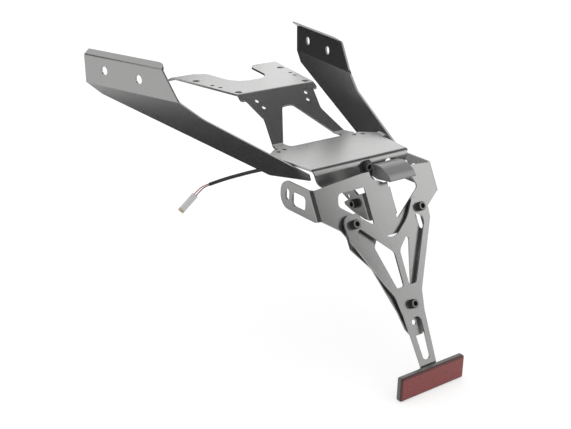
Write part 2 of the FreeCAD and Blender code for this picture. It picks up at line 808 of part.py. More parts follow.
for side in (1, -1):
    outline = new_sketch(licence_bracket, "wing_outline_%s" % ("right" if side > 0 else "left"),
                         "YZ_Plane", (0, 0, side * fold_start))
    add_frame(outline, -plate_half, -2 * plate_half, 2 * wing_reach, 2 * plate_half)
    add_outline(outline, [
        (-1, -1 * tan_of(tilt)),
        from_level(cell("wing_long"), 0) + (cell("wing_round"),),
        from_level(cell("wing_long"), cell("wing_deep")) + (cell("wing_round"),),
        from_level(-9, cell("wing_deep")) + (6,),
        (-1, -cell("fold_high")),
    ])
    pocket(licence_bracket, "trim_wing_%s" % ("right" if side > 0 else "left"), outline, 2 * plate_out,
           reverse=side > 0)
    holes = new_sketch(licence_bracket, "wing_holes_%s" % ("right" if side > 0 else "left"),
                       "YZ_Plane", (0, 0, side * (plate_half + 1)))
    for middle, wide, high, radius in (
            ((cell("slot_ahead"), cell("slot_down")), cell("slot_wide"), cell("slot_high"),
             cell("slot_wide") / 2.02),
            ((cell("lamp_hole_ahead"), cell("lamp_hole_down")), cell("lamp_hole_wide"),
             cell("lamp_hole_high"), cell("lamp_hole_round"))):
        add_outline(holes, [
            from_level(middle[0] + out * wide / 2, middle[1] + down * high / 2) + (radius,)
            for out, down in ((-1, -1), (1, -1), (1, 1), (-1, 1))])
    pocket(licence_bracket, "cut_wing_holes_%s" % ("right" if side > 0 else "left"), holes,
           plate_gauge + 2, reverse=side < 0)

cuts = new_sketch(licence_bracket, "plate_openings", "XZ_Plane")
flap_start = cell("flap_half") - plate_out
for side in (1, -1):
    add_outline(cuts, [
        (side * flap_start, -cell("cut_top")),
        (side * cell("cut_half"), -cell("cut_top"), cell("cut_round")),
        (side * cell("cut_side"), -cell("cut_side_down"), 5),
        (side * flap_start, -cell("cut_low"), 1.5),
    ])
    add_outline(cuts, [
        (side * (cell("ear_screw_x") + across * cell("ear_slot_half")), -down, cell("ear_slot_round"))
        for across, down in ((-1, cell("ear_slot_top")), (1, cell("ear_slot_top")),
                             (1, cell("ear_slot_low")), (-1, cell("ear_slot_low")))
    ])
add_outline(cuts, mirrored([
    (cell("eye_shoulder"), -cell("eye_top"), 5), (cell("eye_half"), -cell("eye_half_down"), 4),
    (cell("eye_low_half"), -cell("eye_low"), 5),
]))
add_circle(cuts, 0, -cell("low_screw_down"), cell("shank") + cell("hole_play"))
add_circle(cuts, 0, -cell("tail_hole_down"), cell("tail_hole"))
pocket(licence_bracket, "cut_plate_openings", cuts)
notch = new_sketch(licence_bracket, "lamp_notch", "XZ_Plane")
notch_right = lamp_right + cell("notch_play")
notch_floor = -cell("cut_top")
add_outline(notch, [
    (-cell("notch_left"), 2 * cell("crown")), (-cell("notch_left") + 1, -1, 2),
    (-1.2, -4.3, 2), (3, -5.4), (cell("lamp_left") - 1.5, notch_floor),
    (cell("flap_half"), notch_floor), (cell("flap_half"), notch_floor - 2),
    (notch_right, notch_floor - 2), (notch_right, 2 * cell("crown")),
])
pocket(licence_bracket, "cut_lamp_notch", notch)
for side in (1, -1):
    hand = "right" if side > 0 else "left"
    fold = new_sketch(licence_bracket, "flap_section_" + hand, "XY_Plane",
                      (0, 0, -cell("flap_low")))
    outer, inner = side * cell("flap_half"), side * (cell("flap_half") - plate_gauge)
    add_outline(fold, [
        (side * (flap_start - 1), 0), (outer, 0, plate_out), (outer, cell("flap_reach")),
        (inner, cell("flap_reach")), (inner, plate_gauge, bend),
        (side * (flap_start - 1), plate_gauge),
    ])
    pad(licence_bracket, "flap_" + hand, fold, cell("flap_low") - cell("flap_top"))
flap_outline = new_sketch(licence_bracket, "flap_outline", "YZ_Plane")
past = plate_gauge + 0.3
add_frame(flap_outline, -plate_half, -2 * cell("tail_down"), 2 * plate_half,
          2 * cell("tail_down"))
add_outline(flap_outline, [
    (-plate_half / 3, 1.5 * cell("tail_down")), (past, 1.5 * cell("tail_down")), (past, -cell("flap_top")),
    (9, -cell("flap_top")),
    (cell("flap_tip"), -cell("flap_tip_down"), 1.5), (cell("flap_tip"), -cell("flap_chin"), 3.5),
    (cell("flap_heel"), -cell("flap_heel_down"), 10), (9, -cell("flap_low") + 3),
    (past, -cell("flap_low") + 0.2), (past, -1.5 * cell("tail_down")),
    (-plate_half / 3, -1.5 * cell("tail_down")),
])
pocket(licence_bracket, "trim_flaps", flap_outline, 2 * cell("flap_half") + 4, both=True)
pivot_holes = new_sketch(licence_bracket, "pivot_holes", "YZ_Plane")
add_circle(pivot_holes, cell("pivot_ahead"), -cell("pivot_down"), cell("shank") + cell("hole_play"))
pocket(licence_bracket, "cut_pivot_holes", pivot_holes, 2 * cell("flap_half") + 4, both=True)
licence_bracket.Placement = plate_place
keep("licence_bracket", licence_bracket)

# Reflector bracket: stands off the licence bracket's rear face, with a foot bent upright
brace_gauge = cell("brace_gauge")
brace_out = bend + brace_gauge
brace_back = -cell("spacer_high") - brace_gauge
reflector_bracket = new_body("reflector_bracket")
brace_section = new_sketch(reflector_bracket, "brace_section", "YZ_Plane")
foot_low = -cell("brace_foot_down") - cell("brace_foot_long") * cos_of(tilt)
foot_y = brace_back + cell("brace_foot_long") * sin_of(tilt)
foot_shift = brace_gauge * tan_of(tilt / 2)
add_outline(brace_section, [
    (brace_back, -cell("brace_ear_top") + 5), (brace_back, -cell("brace_foot_down"), brace_out),
    (foot_y, foot_low), (foot_y + brace_gauge * cos_of(tilt), foot_low + brace_gauge * sin_of(tilt)),
    (-cell("spacer_high"), -cell("brace_foot_down") + foot_shift, bend),
    (-cell("spacer_high"), -cell("brace_ear_top") + 5),
])
pad(reflector_bracket, "folded_brace", brace_section, 3 * cell("brace_ear_half"), both=True)
brace_outline = new_sketch(reflector_bracket, "brace_outline", "XZ_Plane")
add_frame(brace_outline, -far, -2 * far, far, far)
add_outline(brace_outline, mirrored([
    (cell("brace_valley_half"), -cell("brace_valley"), cell("brace_valley_round")),
    (cell("brace_flank_half"), -cell("brace_flank"), cell("brace_flank_round")),
    (cell("brace_throat_half"), -cell("brace_ear_top"), 5),
    (cell("brace_ear_half"), -cell("brace_ear_top"), cell("brace_ear_round")),
    (cell("brace_side_half") + 1, -cell("brace_side_down"), 9),
    (cell("brace_hip_half"), -cell("brace_hip_down"), 12),
    (cell("brace_shin_half"), -cell("brace_shin_down"), 20),
    (cell("brace_foot_half"), -cell("brace_foot_down")),
    (cell("brace_foot_half"), foot_low - 1, 6),
]))
pocket(reflector_bracket, "trim_brace", brace_outline)
brace_cuts = new_sketch(reflector_bracket, "brace_openings", "XZ_Plane")
for side in (1, -1):
    add_outline(brace_cuts, [
        (side * cell("brace_cut_in_x"), -cell("brace_cut_in_down"), 3),
        (side * cell("brace_cut_out_x"), -cell("brace_cut_out_down"), 4),
        (side * cell("brace_cut_out_x"), -cell("brace_cut_out_down") - 7, 5),
        (side * cell("brace_cut_low_x"), -cell("brace_cut_low_down"), 3),
        (side * cell("brace_rib_half"), -cell("brace_cut_low_down"), 2.5),
        (side * cell("brace_rib_half"), -cell("brace_rib_down"), 9),
    ])
    add_circle(brace_cuts, side * cell("ear_screw_x"), -cell("ear_screw_down"),
               cell("shank") + cell("hole_play"))
add_circle(brace_cuts, 0, -cell("low_screw_down"), cell("shank") + cell("hole_play"))
add_outline(brace_cuts, mirrored([
    (cell("brace_slot_top_half"), -cell("brace_slot_top"), 6),
    (cell("brace_slot_low_half"), -cell("brace_slot_low"), 4.2),
]))
pocket(reflector_bracket, "cut_brace", brace_cuts)
stud_hole = new_sketch(reflector_bracket, "stud_hole", "XZ_Plane",
                       (0, -cell("brace_foot_down"), -brace_back), tilt)
add_circle(stud_hole, 0, -cell("stud_down"), cell("stud") + cell("hole_play"))
pocket(reflector_bracket, "cut_stud_hole", stud_hole)
reflector_bracket.Placement = plate_place
keep("reflector_bracket", reflector_bracket)

# Reflector: housing with a boss against the foot, lens in its face, stud through the foot
foot_top = plate_place.multVec(vector_of(0, brace_back, -cell("brace_foot_down")))
reflector_at = Placement(foot_top - Vector(0, 0, SIZES["stud_down"]), Rotation())
half_wide, half_high = cell("reflector_wide") / 2, cell("reflector_high") / 2
rim = cell("reflector_rim")
boss, deep = cell("reflector_boss"), cell("reflector_deep")


def rounded_box(sketch, wide, high, radius):
    add_outline(sketch, [(-wide, -high, radius), (wide, -high, radius), (wide, high, radius),
                         (-wide, high, radius)])


reflector_housing = new_body("reflector_housing")
housing = new_sketch(reflector_housing, "housing", "XZ_Plane", (0, 0, boss))
rounded_box(housing, half_wide, half_high, cell("reflector_round"))
pad(reflector_housing, "housing_block", housing, deep)
boss_ring = new_sketch(reflector_housing, "boss", "XZ_Plane")
add_circle(boss_ring, 0, 0, cell("reflector_boss_out"))
pad(reflector_housing, "housing_boss", boss_ring, boss + deep / 2)
seat = new_sketch(reflector_housing, "lens_seat", "XZ_Plane", (0, 0, boss + deep))
rounded_box(seat, half_wide - rim, half_high - rim, cell("reflector_round") - rim / 2)
pocket(reflector_housing, "cut_lens_seat", seat, cell("lens_seat"))
stud_bore = new_sketch(reflector_housing, "stud_bore", "XZ_Plane")
add_circle(stud_bore, 0, 0, cell("stud"))
pocket(reflector_housing, "cut_stud_bore", stud_bore, 3, reverse=True)
reflector_housing.Placement = reflector_at
keep("reflector_housing", reflector_housing)

reflector_lens = new_body("reflector_lens")
spigot = new_sketch(reflector_lens, "lens_spigot", "XZ_Plane", (0, 0, boss + deep - cell("lens_seat")))
rim_in = rim + cell("lens_play")
rounded_box(spigot, half_wide - rim_in, half_high - rim_in, cell("reflector_round") - rim / 2)
pad(reflector_lens, "lens_spigot_pad", spigot, cell("lens_seat") + cell("lens_thick") / 2)
lens = new_sketch(reflector_lens, "lens", "XZ_Plane", (0, 0, boss + deep))
rounded_box(lens, half_wide - cell("lens_play"), half_high - cell("lens_play"),
            cell("reflector_round"))
lens_pad = pad(reflector_lens, "lens_cap", lens, cell("lens_thick"))
doc.recompute()
lens_face = max(range(len(lens_pad.Shape.Faces)),
                key=lambda index: -lens_pad.Shape.Faces[index].CenterOfMass.y)
lens_bevel = reflector_lens.newObject("PartDesign::Chamfer", "lens_bevel")
lens_bevel.Base = (lens_pad, ["Face%d" % (lens_face + 1)])
lens_bevel.Size = SIZES["lens_bevel"]
lens_bevel.setExpression("Size", "Sizes.lens_bevel")
reflector_lens.Placement = reflector_at
keep("reflector_lens", reflector_lens)


# Fasteners: each is drawn along +Z with its seat at z = 0, and placed where it works
def turned(body, name, profile):
    """A solid turned about +Z from a profile of radius and height."""
    sketch = new_sketch(body, name + "_profile", "XZ_Plane")
    add_outline(sketch, profile)
    feature = body.newObject("PartDesign::Revolution", name)
    feature.Profile = sketch
    feature.ReferenceAxis = (sketch, ["V_Axis"])
    feature.Angle = 360
    return feature


def add_hexagon(sketch, flats):
    """Draws a hexagon about the origin with this size across its flats."""
    reach = sized(flats) / (2 * cos_of(sized(30)))
    add_outline(sketch, [(reach * cos_of(sized(60 * turn)), reach * sin_of(sized(60 * turn)))
                         for turn in range(6)])


def socket_screw(name, place, head, head_high, shank, long, flats):
    """A socket head screw: its head stands above the seat and its shank hangs below it."""
    body = new_body(name)
    turned(body, name + "_turned", [
        (0, -long), (shank - 0.6, -long), (shank, -long + 0.6), (shank, 0), (head, 0),
        (head, head_high - 0.5), (head - 0.5, head_high), (0, head_high)])
    socket = new_sketch(body, name + "_socket", "XY_Plane", (0, 0, head_high))
    add_hexagon(socket, flats)
    pocket(body, name + "_cut", socket, sized(head_high) / 2)
    body.Placement = place
    return body


def hex_nut(name, place, flats, high, shank):
    """A hexagon nut standing above its seat."""
    body = new_body(name)
    prism = new_sketch(body, name + "_prism", "XY_Plane")
    add_hexagon(prism, flats)
    add_circle(prism, 0, 0, shank)
    pad(body, name + "_pad", prism, high)
    corner = new_sketch(body, name + "_corner", "XZ_Plane")
    flats, high = sized(flats), sized(high)
    add_outline(corner, [(flats / 2, high + 1), (flats, high + 1), (flats, high - flats * 0.2),
                         (flats / 2, high)])
    groove = body.newObject("PartDesign::Groove", name + "_chamfer")
    groove.Profile = corner
    groove.ReferenceAxis = (corner, ["V_Axis"])
    groove.Angle = 360
    body.Placement = place
    return body


def ring(name, place, outer, inner, high):
    """A flat ring standing above its seat."""
    body = new_body(name)
    sketch = new_sketch(body, name + "_ring", "XY_Plane")
    add_circle(sketch, 0, 0, outer)
    add_circle(sketch, 0, 0, inner)
    pad(body, name + "_pad", sketch, high)
    body.Placement = place
    return body


def facing(point, direction):
    return Placement(point, Rotation(Vector(0, 0, 1), direction))


bore = cell("shank") + cell("hole_play")
flap_half, lug_in = cell("flap_half"), lug_half - hinge_gauge
flap_screws, flap_nuts = [], []
for side, hand in ((1, "right"), (-1, "left")):
    at, way = vector_of(side * flap_half, pivot_y, pivot_z), Vector(side, 0, 0)
    flap_screws.append(socket_screw(
        "flap_screw_" + hand, facing(at, way), cell("head"), cell("head_high"), cell("shank"),
        flap_half - lug_in + cell("nut_high") + cell("thread_past"), cell("socket_flats")))
    inside = vector_of(side * lug_in, pivot_y, pivot_z)
    flap_nuts.append(hex_nut("flap_nut_" + hand, facing(inside, -way), cell("nut_flats"),
                             cell("nut_high"), cell("shank")))
group("flap_screws", flap_screws)
group("flap_nuts", flap_nuts)

rearward = plate_place.Rotation.multVec(Vector(0, -1, 0))
stack = (brace_gauge + cell("spacer_high") + plate_gauge + cell("washer_high") + cell("nut_high")
         + cell("thread_past"))
bracket_screws, spacers, washers, bracket_nuts = [], [], [], []
for label, across, down in (("right", cell("ear_screw_x"), cell("ear_screw_down")),
                            ("left", -cell("ear_screw_x"), cell("ear_screw_down")),
                            ("low", sized(0), cell("low_screw_down"))):
    def seat_at(depth):
        return plate_place.multVec(vector_of(across, depth, -down))
    bracket_screws.append(socket_screw(
        "bracket_screw_" + label, facing(seat_at(brace_back), rearward), cell("head"),
        cell("head_high"), cell("shank"), stack, cell("socket_flats")))
    spacers.append(ring("spacer_" + label, facing(seat_at(0), rearward), cell("spacer_out"), bore,
                        cell("spacer_high")))
    washers.append(ring("washer_" + label, facing(seat_at(plate_gauge), -rearward), cell("washer"),
                        bore, cell("washer_high")))
    bracket_nuts.append(hex_nut(
        "bracket_nut_" + label, facing(seat_at(plate_gauge + cell("washer_high")), -rearward),
        cell("nut_flats"), cell("nut_high"), cell("shank")))
group("bracket_screws", bracket_screws)
group("bracket_spacers", spacers)
group("bracket_washers", washers)
group("bracket_nuts", bracket_nuts)

stud_face = reflector_at.Base
stud = new_body("reflector_stud")
turned(stud, "stud_rod", [(0, -3), (cell("stud"), -3), (cell("stud"), cell("stud_long") - 0.6),
                          (cell("stud") - 0.6, cell("stud_long")), (0, cell("stud_long"))])
stud.Placement = facing(stud_face, Vector(0, 1, 0))
keep("reflector_stud", stud)
tab_front = stud_face + vector_of(0, brace_gauge, 0)
keep("reflector_nut", hex_nut("reflector_nut", facing(tab_front, Vector(0, 1, 0)),
                              cell("small_nut_flats"), cell("small_nut_high"), cell("stud")))

# Licence plate lamp: a back plate on the tray's flange, a hood and a window that faces down
hood_back = flange_face - cell("lamp_plate_gauge")
lamp_left, lamp_long, cheek = cell("lamp_left"), cell("lamp_long"), cell("cheek")
lamp_back = new_body("lamp_back_plate")
back_sketch = new_sketch(lamp_back, "lamp_back_outline", "XZ_Plane", (0, 0, -flange_face))
add_outline(back_sketch, [
    (-cell("lamp_plate_left"), -cell("lamp_tab_top"), 5),
    (-cell("lamp_plate_left"), -cell("lamp_tab_low"), 5),
    (lamp_left - 1, -cell("lamp_plate_low"), 2), (lamp_right, -cell("lamp_plate_low"), 1),
    (lamp_right, -cell("lamp_plate_top"), 2), (lamp_left - 1, -cell("lamp_plate_top"), 1.5),
    (cell("lamp_tab_right"), -cell("lamp_tab_top"), 4),
])
add_circle(back_sketch, cell("lamp_screw_x"), -cell("lamp_screw_z"), bore)
pad(lamp_back, "lamp_back_pad", back_sketch, cell("lamp_plate_gauge"))
keep("lamp_back_plate", lamp_back)


def hood_corner(out, down, radius=None):
    """A corner of the hood's section, given outwards from the back plate and down from z = 0."""
    corner = (hood_back - out, -sized(down))
    return corner if radius is None else corner + (radius,)


brow_out, brow = cell("brow_out"), cell("brow")
cheek_out, cheek_down = cell("cheek_out"), cell("cheek_down")
tip_out, tip_down = cell("tip_out"), cell("lamp_tip")
lamp_hood = new_body("lamp_hood")
hood_section = new_sketch(lamp_hood, "hood_section", "YZ_Plane", (0, 0, lamp_left))
add_outline(hood_section, [
    hood_corner(0, cell("lamp_top")), hood_corner(brow_out, brow, 22),
    hood_corner(cheek_out, cheek_down, 14), hood_corner(tip_out, tip_down, 1.2),
    hood_corner(tip_out - 1.3, tip_down + 1.2, 0.8), hood_corner(cell("chin_out"), cell("chin"), 1),
    hood_corner(0, cell("lamp_plate_low")),
])
pad(lamp_hood, "hood_block", hood_section, lamp_long)
cavity_front = tip_out - 3.2
cavity = new_sketch(lamp_hood, "hood_cavity", "YZ_Plane", (0, 0, lamp_left + cheek))
hood_gauge = cell("hood_gauge")
add_outline(cavity, [
    hood_corner(hood_gauge, cell("lamp_top") + hood_gauge),
    hood_corner(brow_out, brow + hood_gauge, 21),
    hood_corner(cheek_out - 0.8, cheek_down + 1, 12),
    hood_corner(cavity_front, tip_down - 1.2), hood_corner(cavity_front, cell("chin") + 3),
    hood_corner(hood_gauge, cell("chin") + 3),
])
pocket(lamp_hood, "cut_cavity", cavity, lamp_long - 2 * cheek, reverse=True)
for name, where in (("left", lamp_left), ("right", lamp_left + lamp_long - cell("cheek_sunk"))):
    sunk = new_sketch(lamp_hood, "sunk_cheek_" + name, "YZ_Plane", (0, 0, where))
    add_outline(sunk, [
        hood_corner(2, cell("lamp_top") + 2), hood_corner(brow_out - 0.3, brow + 2.1, 19),
        hood_corner(cheek_out - 1.3, cheek_down + 1.6, 12), hood_corner(tip_out - 2.6, tip_down - 0.1, 1),
        hood_corner(cell("chin_out"), cell("chin") - 1.5, 1), hood_corner(2, cell("chin") - 2.6),
    ])
    pocket(lamp_hood, "cut_sunk_cheek_" + name, sunk, cell("cheek_sunk"), reverse=True)
keep("lamp_hood", lamp_hood)
lamp_lens = new_body("lamp_lens")
lens_section = new_sketch(lamp_lens, "lamp_lens_section", "YZ_Plane", (0, 0, lamp_left + cheek))
window_thick = cell("window_thick")
add_outline(lens_section, [
    hood_corner(hood_gauge, cell("lamp_plate_low") - 0.3),
    hood_corner(cavity_front, tip_down + 0.8),
    hood_corner(cavity_front, tip_down + 0.8 - window_thick),
    hood_corner(hood_gauge, cell("lamp_plate_low") - 0.3 - window_thick),
])
pad(lamp_lens, "lamp_lens_pad", lens_section, lamp_long - 2 * cheek)
keep("lamp_lens", lamp_lens)
lamp_seat = vector_of(cell("lamp_screw_x"), hood_back, -cell("lamp_screw_z"))
keep("lamp_screw", socket_screw(
    "lamp_screw", facing(lamp_seat, Vector(0, -1, 0)), cell("head"), cell("head_high"),
    cell("shank"), cell("lamp_plate_gauge") + gauge + cell("thread_past"), cell("socket_flats")))

# Lamp cable: a sheath from the lamp, two wires out of its end, and a plug-in connector
CABLE_ROUTE = [
    (38, flange_face.number, -58), (38, -224, -58), (33.5, -201, -59.2), (22.5, -179, -63.1),
    (4, -158, -70), (-10, -133, -79.5), (-22, -106, -89.5), (-31, -80, -99.5),
    (-38, -54, -111.5), (-45.5, -32, -122), (-52, -10, -134),
]
CONNECTOR_TOP, CONNECTOR_WAY = Vector(-59, 14, -154.4), Vector(-21, 7, -23.2).normalize()
WIRE_STUB = 9.5


def cord_path(points):
    """A path of straight runs joined by tangent arcs, with the smallest radius among its arcs."""
    points = [Vector(*point) for point in points]
    edges, start, tightest = [], points[0], None
    for before, corner, after in zip(points, points[1:], points[2:]):
        inward, outward = corner - before, after - corner
        half_turn = inward.getAngle(outward) / 2
        radius = 0.45 * min(inward.Length, outward.Length) / math.tan(half_turn)
        reach = radius * math.tan(half_turn)
        inward.normalize()
        outward.normalize()
        first, last = corner - inward * reach, corner + outward * reach
        bisector = (outward - inward).normalize()
        middle = corner + bisector * (radius / math.cos(half_turn) - radius)
        edges += [Part.makeLine(start, first), Part.Arc(first, middle, last).toShape()]
        start = last
        tightest = radius if tightest is None else min(tightest, radius)
    edges.append(Part.makeLine(start, points[-1]))
    return Part.Wire(edges), tightest


def cord(name, points, radius):
    """A round cord along the points, checked against its section times its length."""
    path, tightest = cord_path(points)
    start = Vector(*points[0])
    section = Part.Wire(Part.makeCircle(radius, start, Vector(*points[1]) - start))
    shape = path.makePipeShell([section], True, True)
    wanted = math.pi * radius ** 2 * path.Length
    print("%s: length %.1f, tightest radius %.1f, volume %.1f of %.1f" % (
        name, path.Length, tightest, shape.Volume, wanted))
    if abs(shape.Volume - wanted) > 0.01 * wanted:
        raise RuntimeError("%s isn't a clean tube" % name)
    item = doc.addObject("Part::Feature", name)
    item.Shape = shape
    return keep(name, item)


cord("lamp_cable", CABLE_ROUTE, SIZES["cable"])
sheath_end = Vector(*CABLE_ROUTE[-1])
sheath_way = (sheath_end - Vector(*CABLE_ROUTE[-2])).normalize()
wire_side = sheath_way.cross(CONNECTOR_WAY).normalize()
for name, side in (("red_wire", 1), ("black_wire", -1)):
    at_sheath = sheath_end + wire_side * (side * SIZES["wire_apart"])
    at_plug = CONNECTOR_TOP + wire_side * (side * SIZES["wire_apart"] * 1.5)
    cord(name, [tuple(at_sheath), tuple(at_sheath + sheath_way * WIRE_STUB),
                tuple(at_plug - CONNECTOR_WAY * WIRE_STUB), tuple(at_plug)], SIZES["wire"])
connector = new_body("connector_shell")
across_plug = wire_side
plug_place = Placement(CONNECTOR_TOP, Rotation(
    across_plug, CONNECTOR_WAY.cross(across_plug), CONNECTOR_WAY, "ZXY"))
shell = new_sketch(connector, "shell", "XY_Plane")
rounded_box(shell, cell("connector_wide") / 2, cell("connector_thick") / 2, 0.8)
pad(connector, "shell_pad", shell, cell("connector_long"))
mouth = new_sketch(connector, "mouth", "XY_Plane", (0, 0, cell("connector_long")))
for side in (1, -1):
    add_circle(mouth, side * cell("wire_apart") * 1.6, 0, 1.35)
pocket(connector, "cut_mouth", mouth, cell("connector_long") / 2)
connector.Placement = plug_place
keep("connector_shell", connector)
pins = []
for side in (1, -1):
    pin = new_body("terminal_%s" % ("red" if side > 0 else "black"))
    pin_sketch = new_sketch(pin, pin.Name + "_sketch", "XY_Plane", (0, 0, cell("connector_long") / 2))
    add_circle(pin_sketch, side * cell("wire_apart") * 1.6, 0, 0.9)
    pad(pin, pin.Name + "_pad", pin_sketch, cell("connector_long") / 2 - 2)
    pin.Placement = plug_place
    pins.append(pin)
group("terminals", pins)

doc.recompute()
os.makedirs("parts", exist_ok=True)
for name, item in subparts.items():
    shape = item.Shape
    if shape.isNull() or not shape.isValid():
        raise RuntimeError("%s has no valid shape" % name)
    box = shape.BoundBox
    print("%s: %d solids, %.0f mm3, x %.1f..%.1f y %.1f..%.1f z %.1f..%.1f" % (
        name, len(shape.Solids), shape.Volume,
        box.XMin, box.XMax, box.YMin, box.YMax, box.ZMin, box.ZMax))
    shape.exportStep("parts/%s.step" % name)
for item in doc.Objects:
    if "Invalid" in item.State or "Error" in item.State:
        raise RuntimeError("%s did not recompute" % item.Label)
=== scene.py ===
"""Dresses the tail tidy: coated sheets, screws, reflector, lamp, cable and the studio round it."""

from __future__ import annotations

import json
import logging
import math
from dataclasses import dataclass, field
from enum import Enum

import bmesh
import bpy
from mathutils import Matrix, Vector

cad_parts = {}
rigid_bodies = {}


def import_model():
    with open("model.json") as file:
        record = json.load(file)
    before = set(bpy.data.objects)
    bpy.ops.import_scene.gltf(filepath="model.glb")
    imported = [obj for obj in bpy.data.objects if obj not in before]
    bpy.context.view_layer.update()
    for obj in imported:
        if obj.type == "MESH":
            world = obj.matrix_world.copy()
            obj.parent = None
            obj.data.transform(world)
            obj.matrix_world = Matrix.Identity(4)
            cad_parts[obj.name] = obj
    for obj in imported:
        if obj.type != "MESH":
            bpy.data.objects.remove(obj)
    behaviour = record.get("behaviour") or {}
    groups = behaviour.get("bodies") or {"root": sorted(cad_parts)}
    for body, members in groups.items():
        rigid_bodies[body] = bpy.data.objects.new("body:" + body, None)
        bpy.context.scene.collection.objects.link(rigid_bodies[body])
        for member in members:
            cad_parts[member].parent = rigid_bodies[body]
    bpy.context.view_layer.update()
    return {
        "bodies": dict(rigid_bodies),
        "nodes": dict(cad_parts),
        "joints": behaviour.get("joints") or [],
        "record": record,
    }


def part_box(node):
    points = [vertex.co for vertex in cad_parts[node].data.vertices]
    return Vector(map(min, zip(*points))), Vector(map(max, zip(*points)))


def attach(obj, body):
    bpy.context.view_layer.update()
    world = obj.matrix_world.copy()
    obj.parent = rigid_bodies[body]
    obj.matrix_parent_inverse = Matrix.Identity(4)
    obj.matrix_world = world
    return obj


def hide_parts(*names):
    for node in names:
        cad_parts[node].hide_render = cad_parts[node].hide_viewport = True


LOG = logging.getLogger("tail_tidy")
MM = 0.001
BODY = "root"
MERGE_DISTANCE = 2e-6
FLAT_ANGLE = math.radians(0.6)


def millimetres(x: float, y: float, z: float) -> Vector:
    """A point given in millimetres, as Blender's metres."""
    return Vector((x, y, z)) * MM


class Signal:
    """A shader socket that takes part in plain arithmetic.

    Args:
        graph: The material's graph that new nodes go into.
        socket: The output socket that carries the value.
    """

    def __init__(self, graph: "Graph", socket: bpy.types.NodeSocket) -> None:
        self.graph = graph
        self.socket = socket

    def _maths(self, operation: str, first: object, second: object) -> "Signal":
        """Adds one Math node.

        Args:
            operation: The node's operation.
            first: A signal or a number.
            second: A signal or a number.

        Returns:
            The node's result.
        """
        return self.graph.node("ShaderNodeMath", {"operation": operation}, {0: first, 1: second})

    def __add__(self, other: object) -> "Signal":
        """This value plus another."""
        return self._maths("ADD", self, other)

    __radd__ = __add__

    def __sub__(self, other: object) -> "Signal":
        """This value minus another."""
        return self._maths("SUBTRACT", self, other)

    def __mul__(self, other: object) -> "Signal":
        """This value times another."""
        return self._maths("MULTIPLY", self, other)

    def most(self, other: object) -> "Signal":
        """The larger of this value and another."""
        return self._maths("MAXIMUM", self, other)

    def saw(self, pitch: float) -> "Signal":
        """A triangle wave from 0 to 1 along this value, with this pitch."""
        return self._maths("PINGPONG", self * (2.0 / pitch), 1.0)

    def ramp(self, low: float, high: float) -> "Signal":
        """This value spread from low..high onto 0..1, with soft ends."""
        settings = {"interpolation_type": "SMOOTHSTEP"}
        return self.graph.node("ShaderNodeMapRange", settings, {0: self, 1: low, 2: high})


class Graph:
    """A material's node graph.

    Args:
        name: The material's name.
    """

    def __init__(self, name: str) -> None:
        self.material = bpy.data.materials.new(name)
        self.material.use_nodes = True
        self.tree = self.material.node_tree
        self.shader = self.tree.nodes["Principled BSDF"]
        self.place = self.node("ShaderNodeTexCoord", {}, {}, "Object")

    def node(self, kind: str, settings: dict, sockets: dict, output: object = 0) -> Signal:
        """Adds a node, sets it up and feeds its sockets.

        Args:
            kind: The node's type.
            settings: Its own settings by name.
            sockets: Values or signals by socket name or index.
            output: Which of its outputs is wanted.

        Returns:
            The wanted output.
        """
        made = self.tree.nodes.new(kind)
        for key, value in settings.items():
            setattr(made, key, value)
        for key, value in sockets.items():
            if isinstance(value, Signal):
                self.tree.links.new(value.socket, made.inputs[key])
            else:
                made.inputs[key].default_value = value
        return Signal(self, made.outputs[output])

    def noise(self, size: float, detail: float = 2.0, rough: float = 0.5) -> Signal:
        """Noise from 0 to 1 whose features are about size metres across."""
        values = {"Vector": self.place, "Scale": 1.0 / size, "Detail": detail, "Roughness": rough}
        return self.node("ShaderNodeTexNoise", {}, values, "Fac")

    def axis(self, name: str) -> Signal:
        """The object coordinate along X, Y or Z."""
        return self.node("ShaderNodeSeparateXYZ", {}, {0: self.place}, name)

    def blend(self, factor: object, first: object, second: object) -> Signal:
        """A colour between two colours."""
        settings = {"data_type": "RGBA"}
        return self.node("ShaderNodeMix", settings, {0: factor, 6: first, 7: second}, 2)

    def feed(self, socket: str, value: object) -> None:
        """Sets one socket of the shader, by a number, a colour or a signal."""
        if isinstance(value, Signal):
            self.tree.links.new(value.socket, self.shader.inputs[socket])
        else:
            self.shader.inputs[socket].default_value = value

    def relief(self, height: Signal, depth: float) -> None:
        """Bumps the surface by a height from 0 to 1 over this many metres."""
        values = {"Height": height, "Distance": depth, "Strength": 1.0}
        self.feed("Normal", self.node("ShaderNodeBump", {}, values))


Colour = tuple[float, float, float, float]


def shade(colour: Colour, factor: float) -> Colour:
    """A colour made lighter or darker."""
    return tuple(min(1.0, part * factor) for part in colour[:3]) + (1.0,)


@dataclass(frozen=True)
class Finish:
    """A surface finish with a fine grain, soft mottling and a little dust."""

    name: str
    colour: Colour
    roughness: float
    metallic: float = 0.0
    grain: float = 0.0006
    grain_depth: float = 0.00001
    mottle: float = 0.03
    mottle_size: float = 0.03
    coat: float = 0.0
    grain_gloss: float = 0.10
    mottle_gloss: float = 0.06

    def build(self) -> bpy.types.Material:
        """Makes the material.

        Returns:
            The finished material.
        """
        graph = Graph(self.name)
        self.paint(graph)
        return graph.material

    def paint(self, graph: Graph) -> None:
        """Sets the shader's colour, gloss and relief."""
        cloud = graph.noise(self.mottle_size, 3.0)
        low, high = shade(self.colour, 1 - self.mottle), shade(self.colour, 1 + self.mottle)
        graph.feed("Base Color", graph.blend(cloud, low, high))
        grain = graph.noise(self.grain, 2.0)
        uneven = self.roughness + (grain - 0.5) * self.grain_gloss
        graph.feed("Roughness", uneven + (cloud - 0.5) * self.mottle_gloss)
        graph.feed("Metallic", self.metallic)
        graph.feed("Coat Weight", self.coat)
        graph.relief(grain, self.grain_depth)


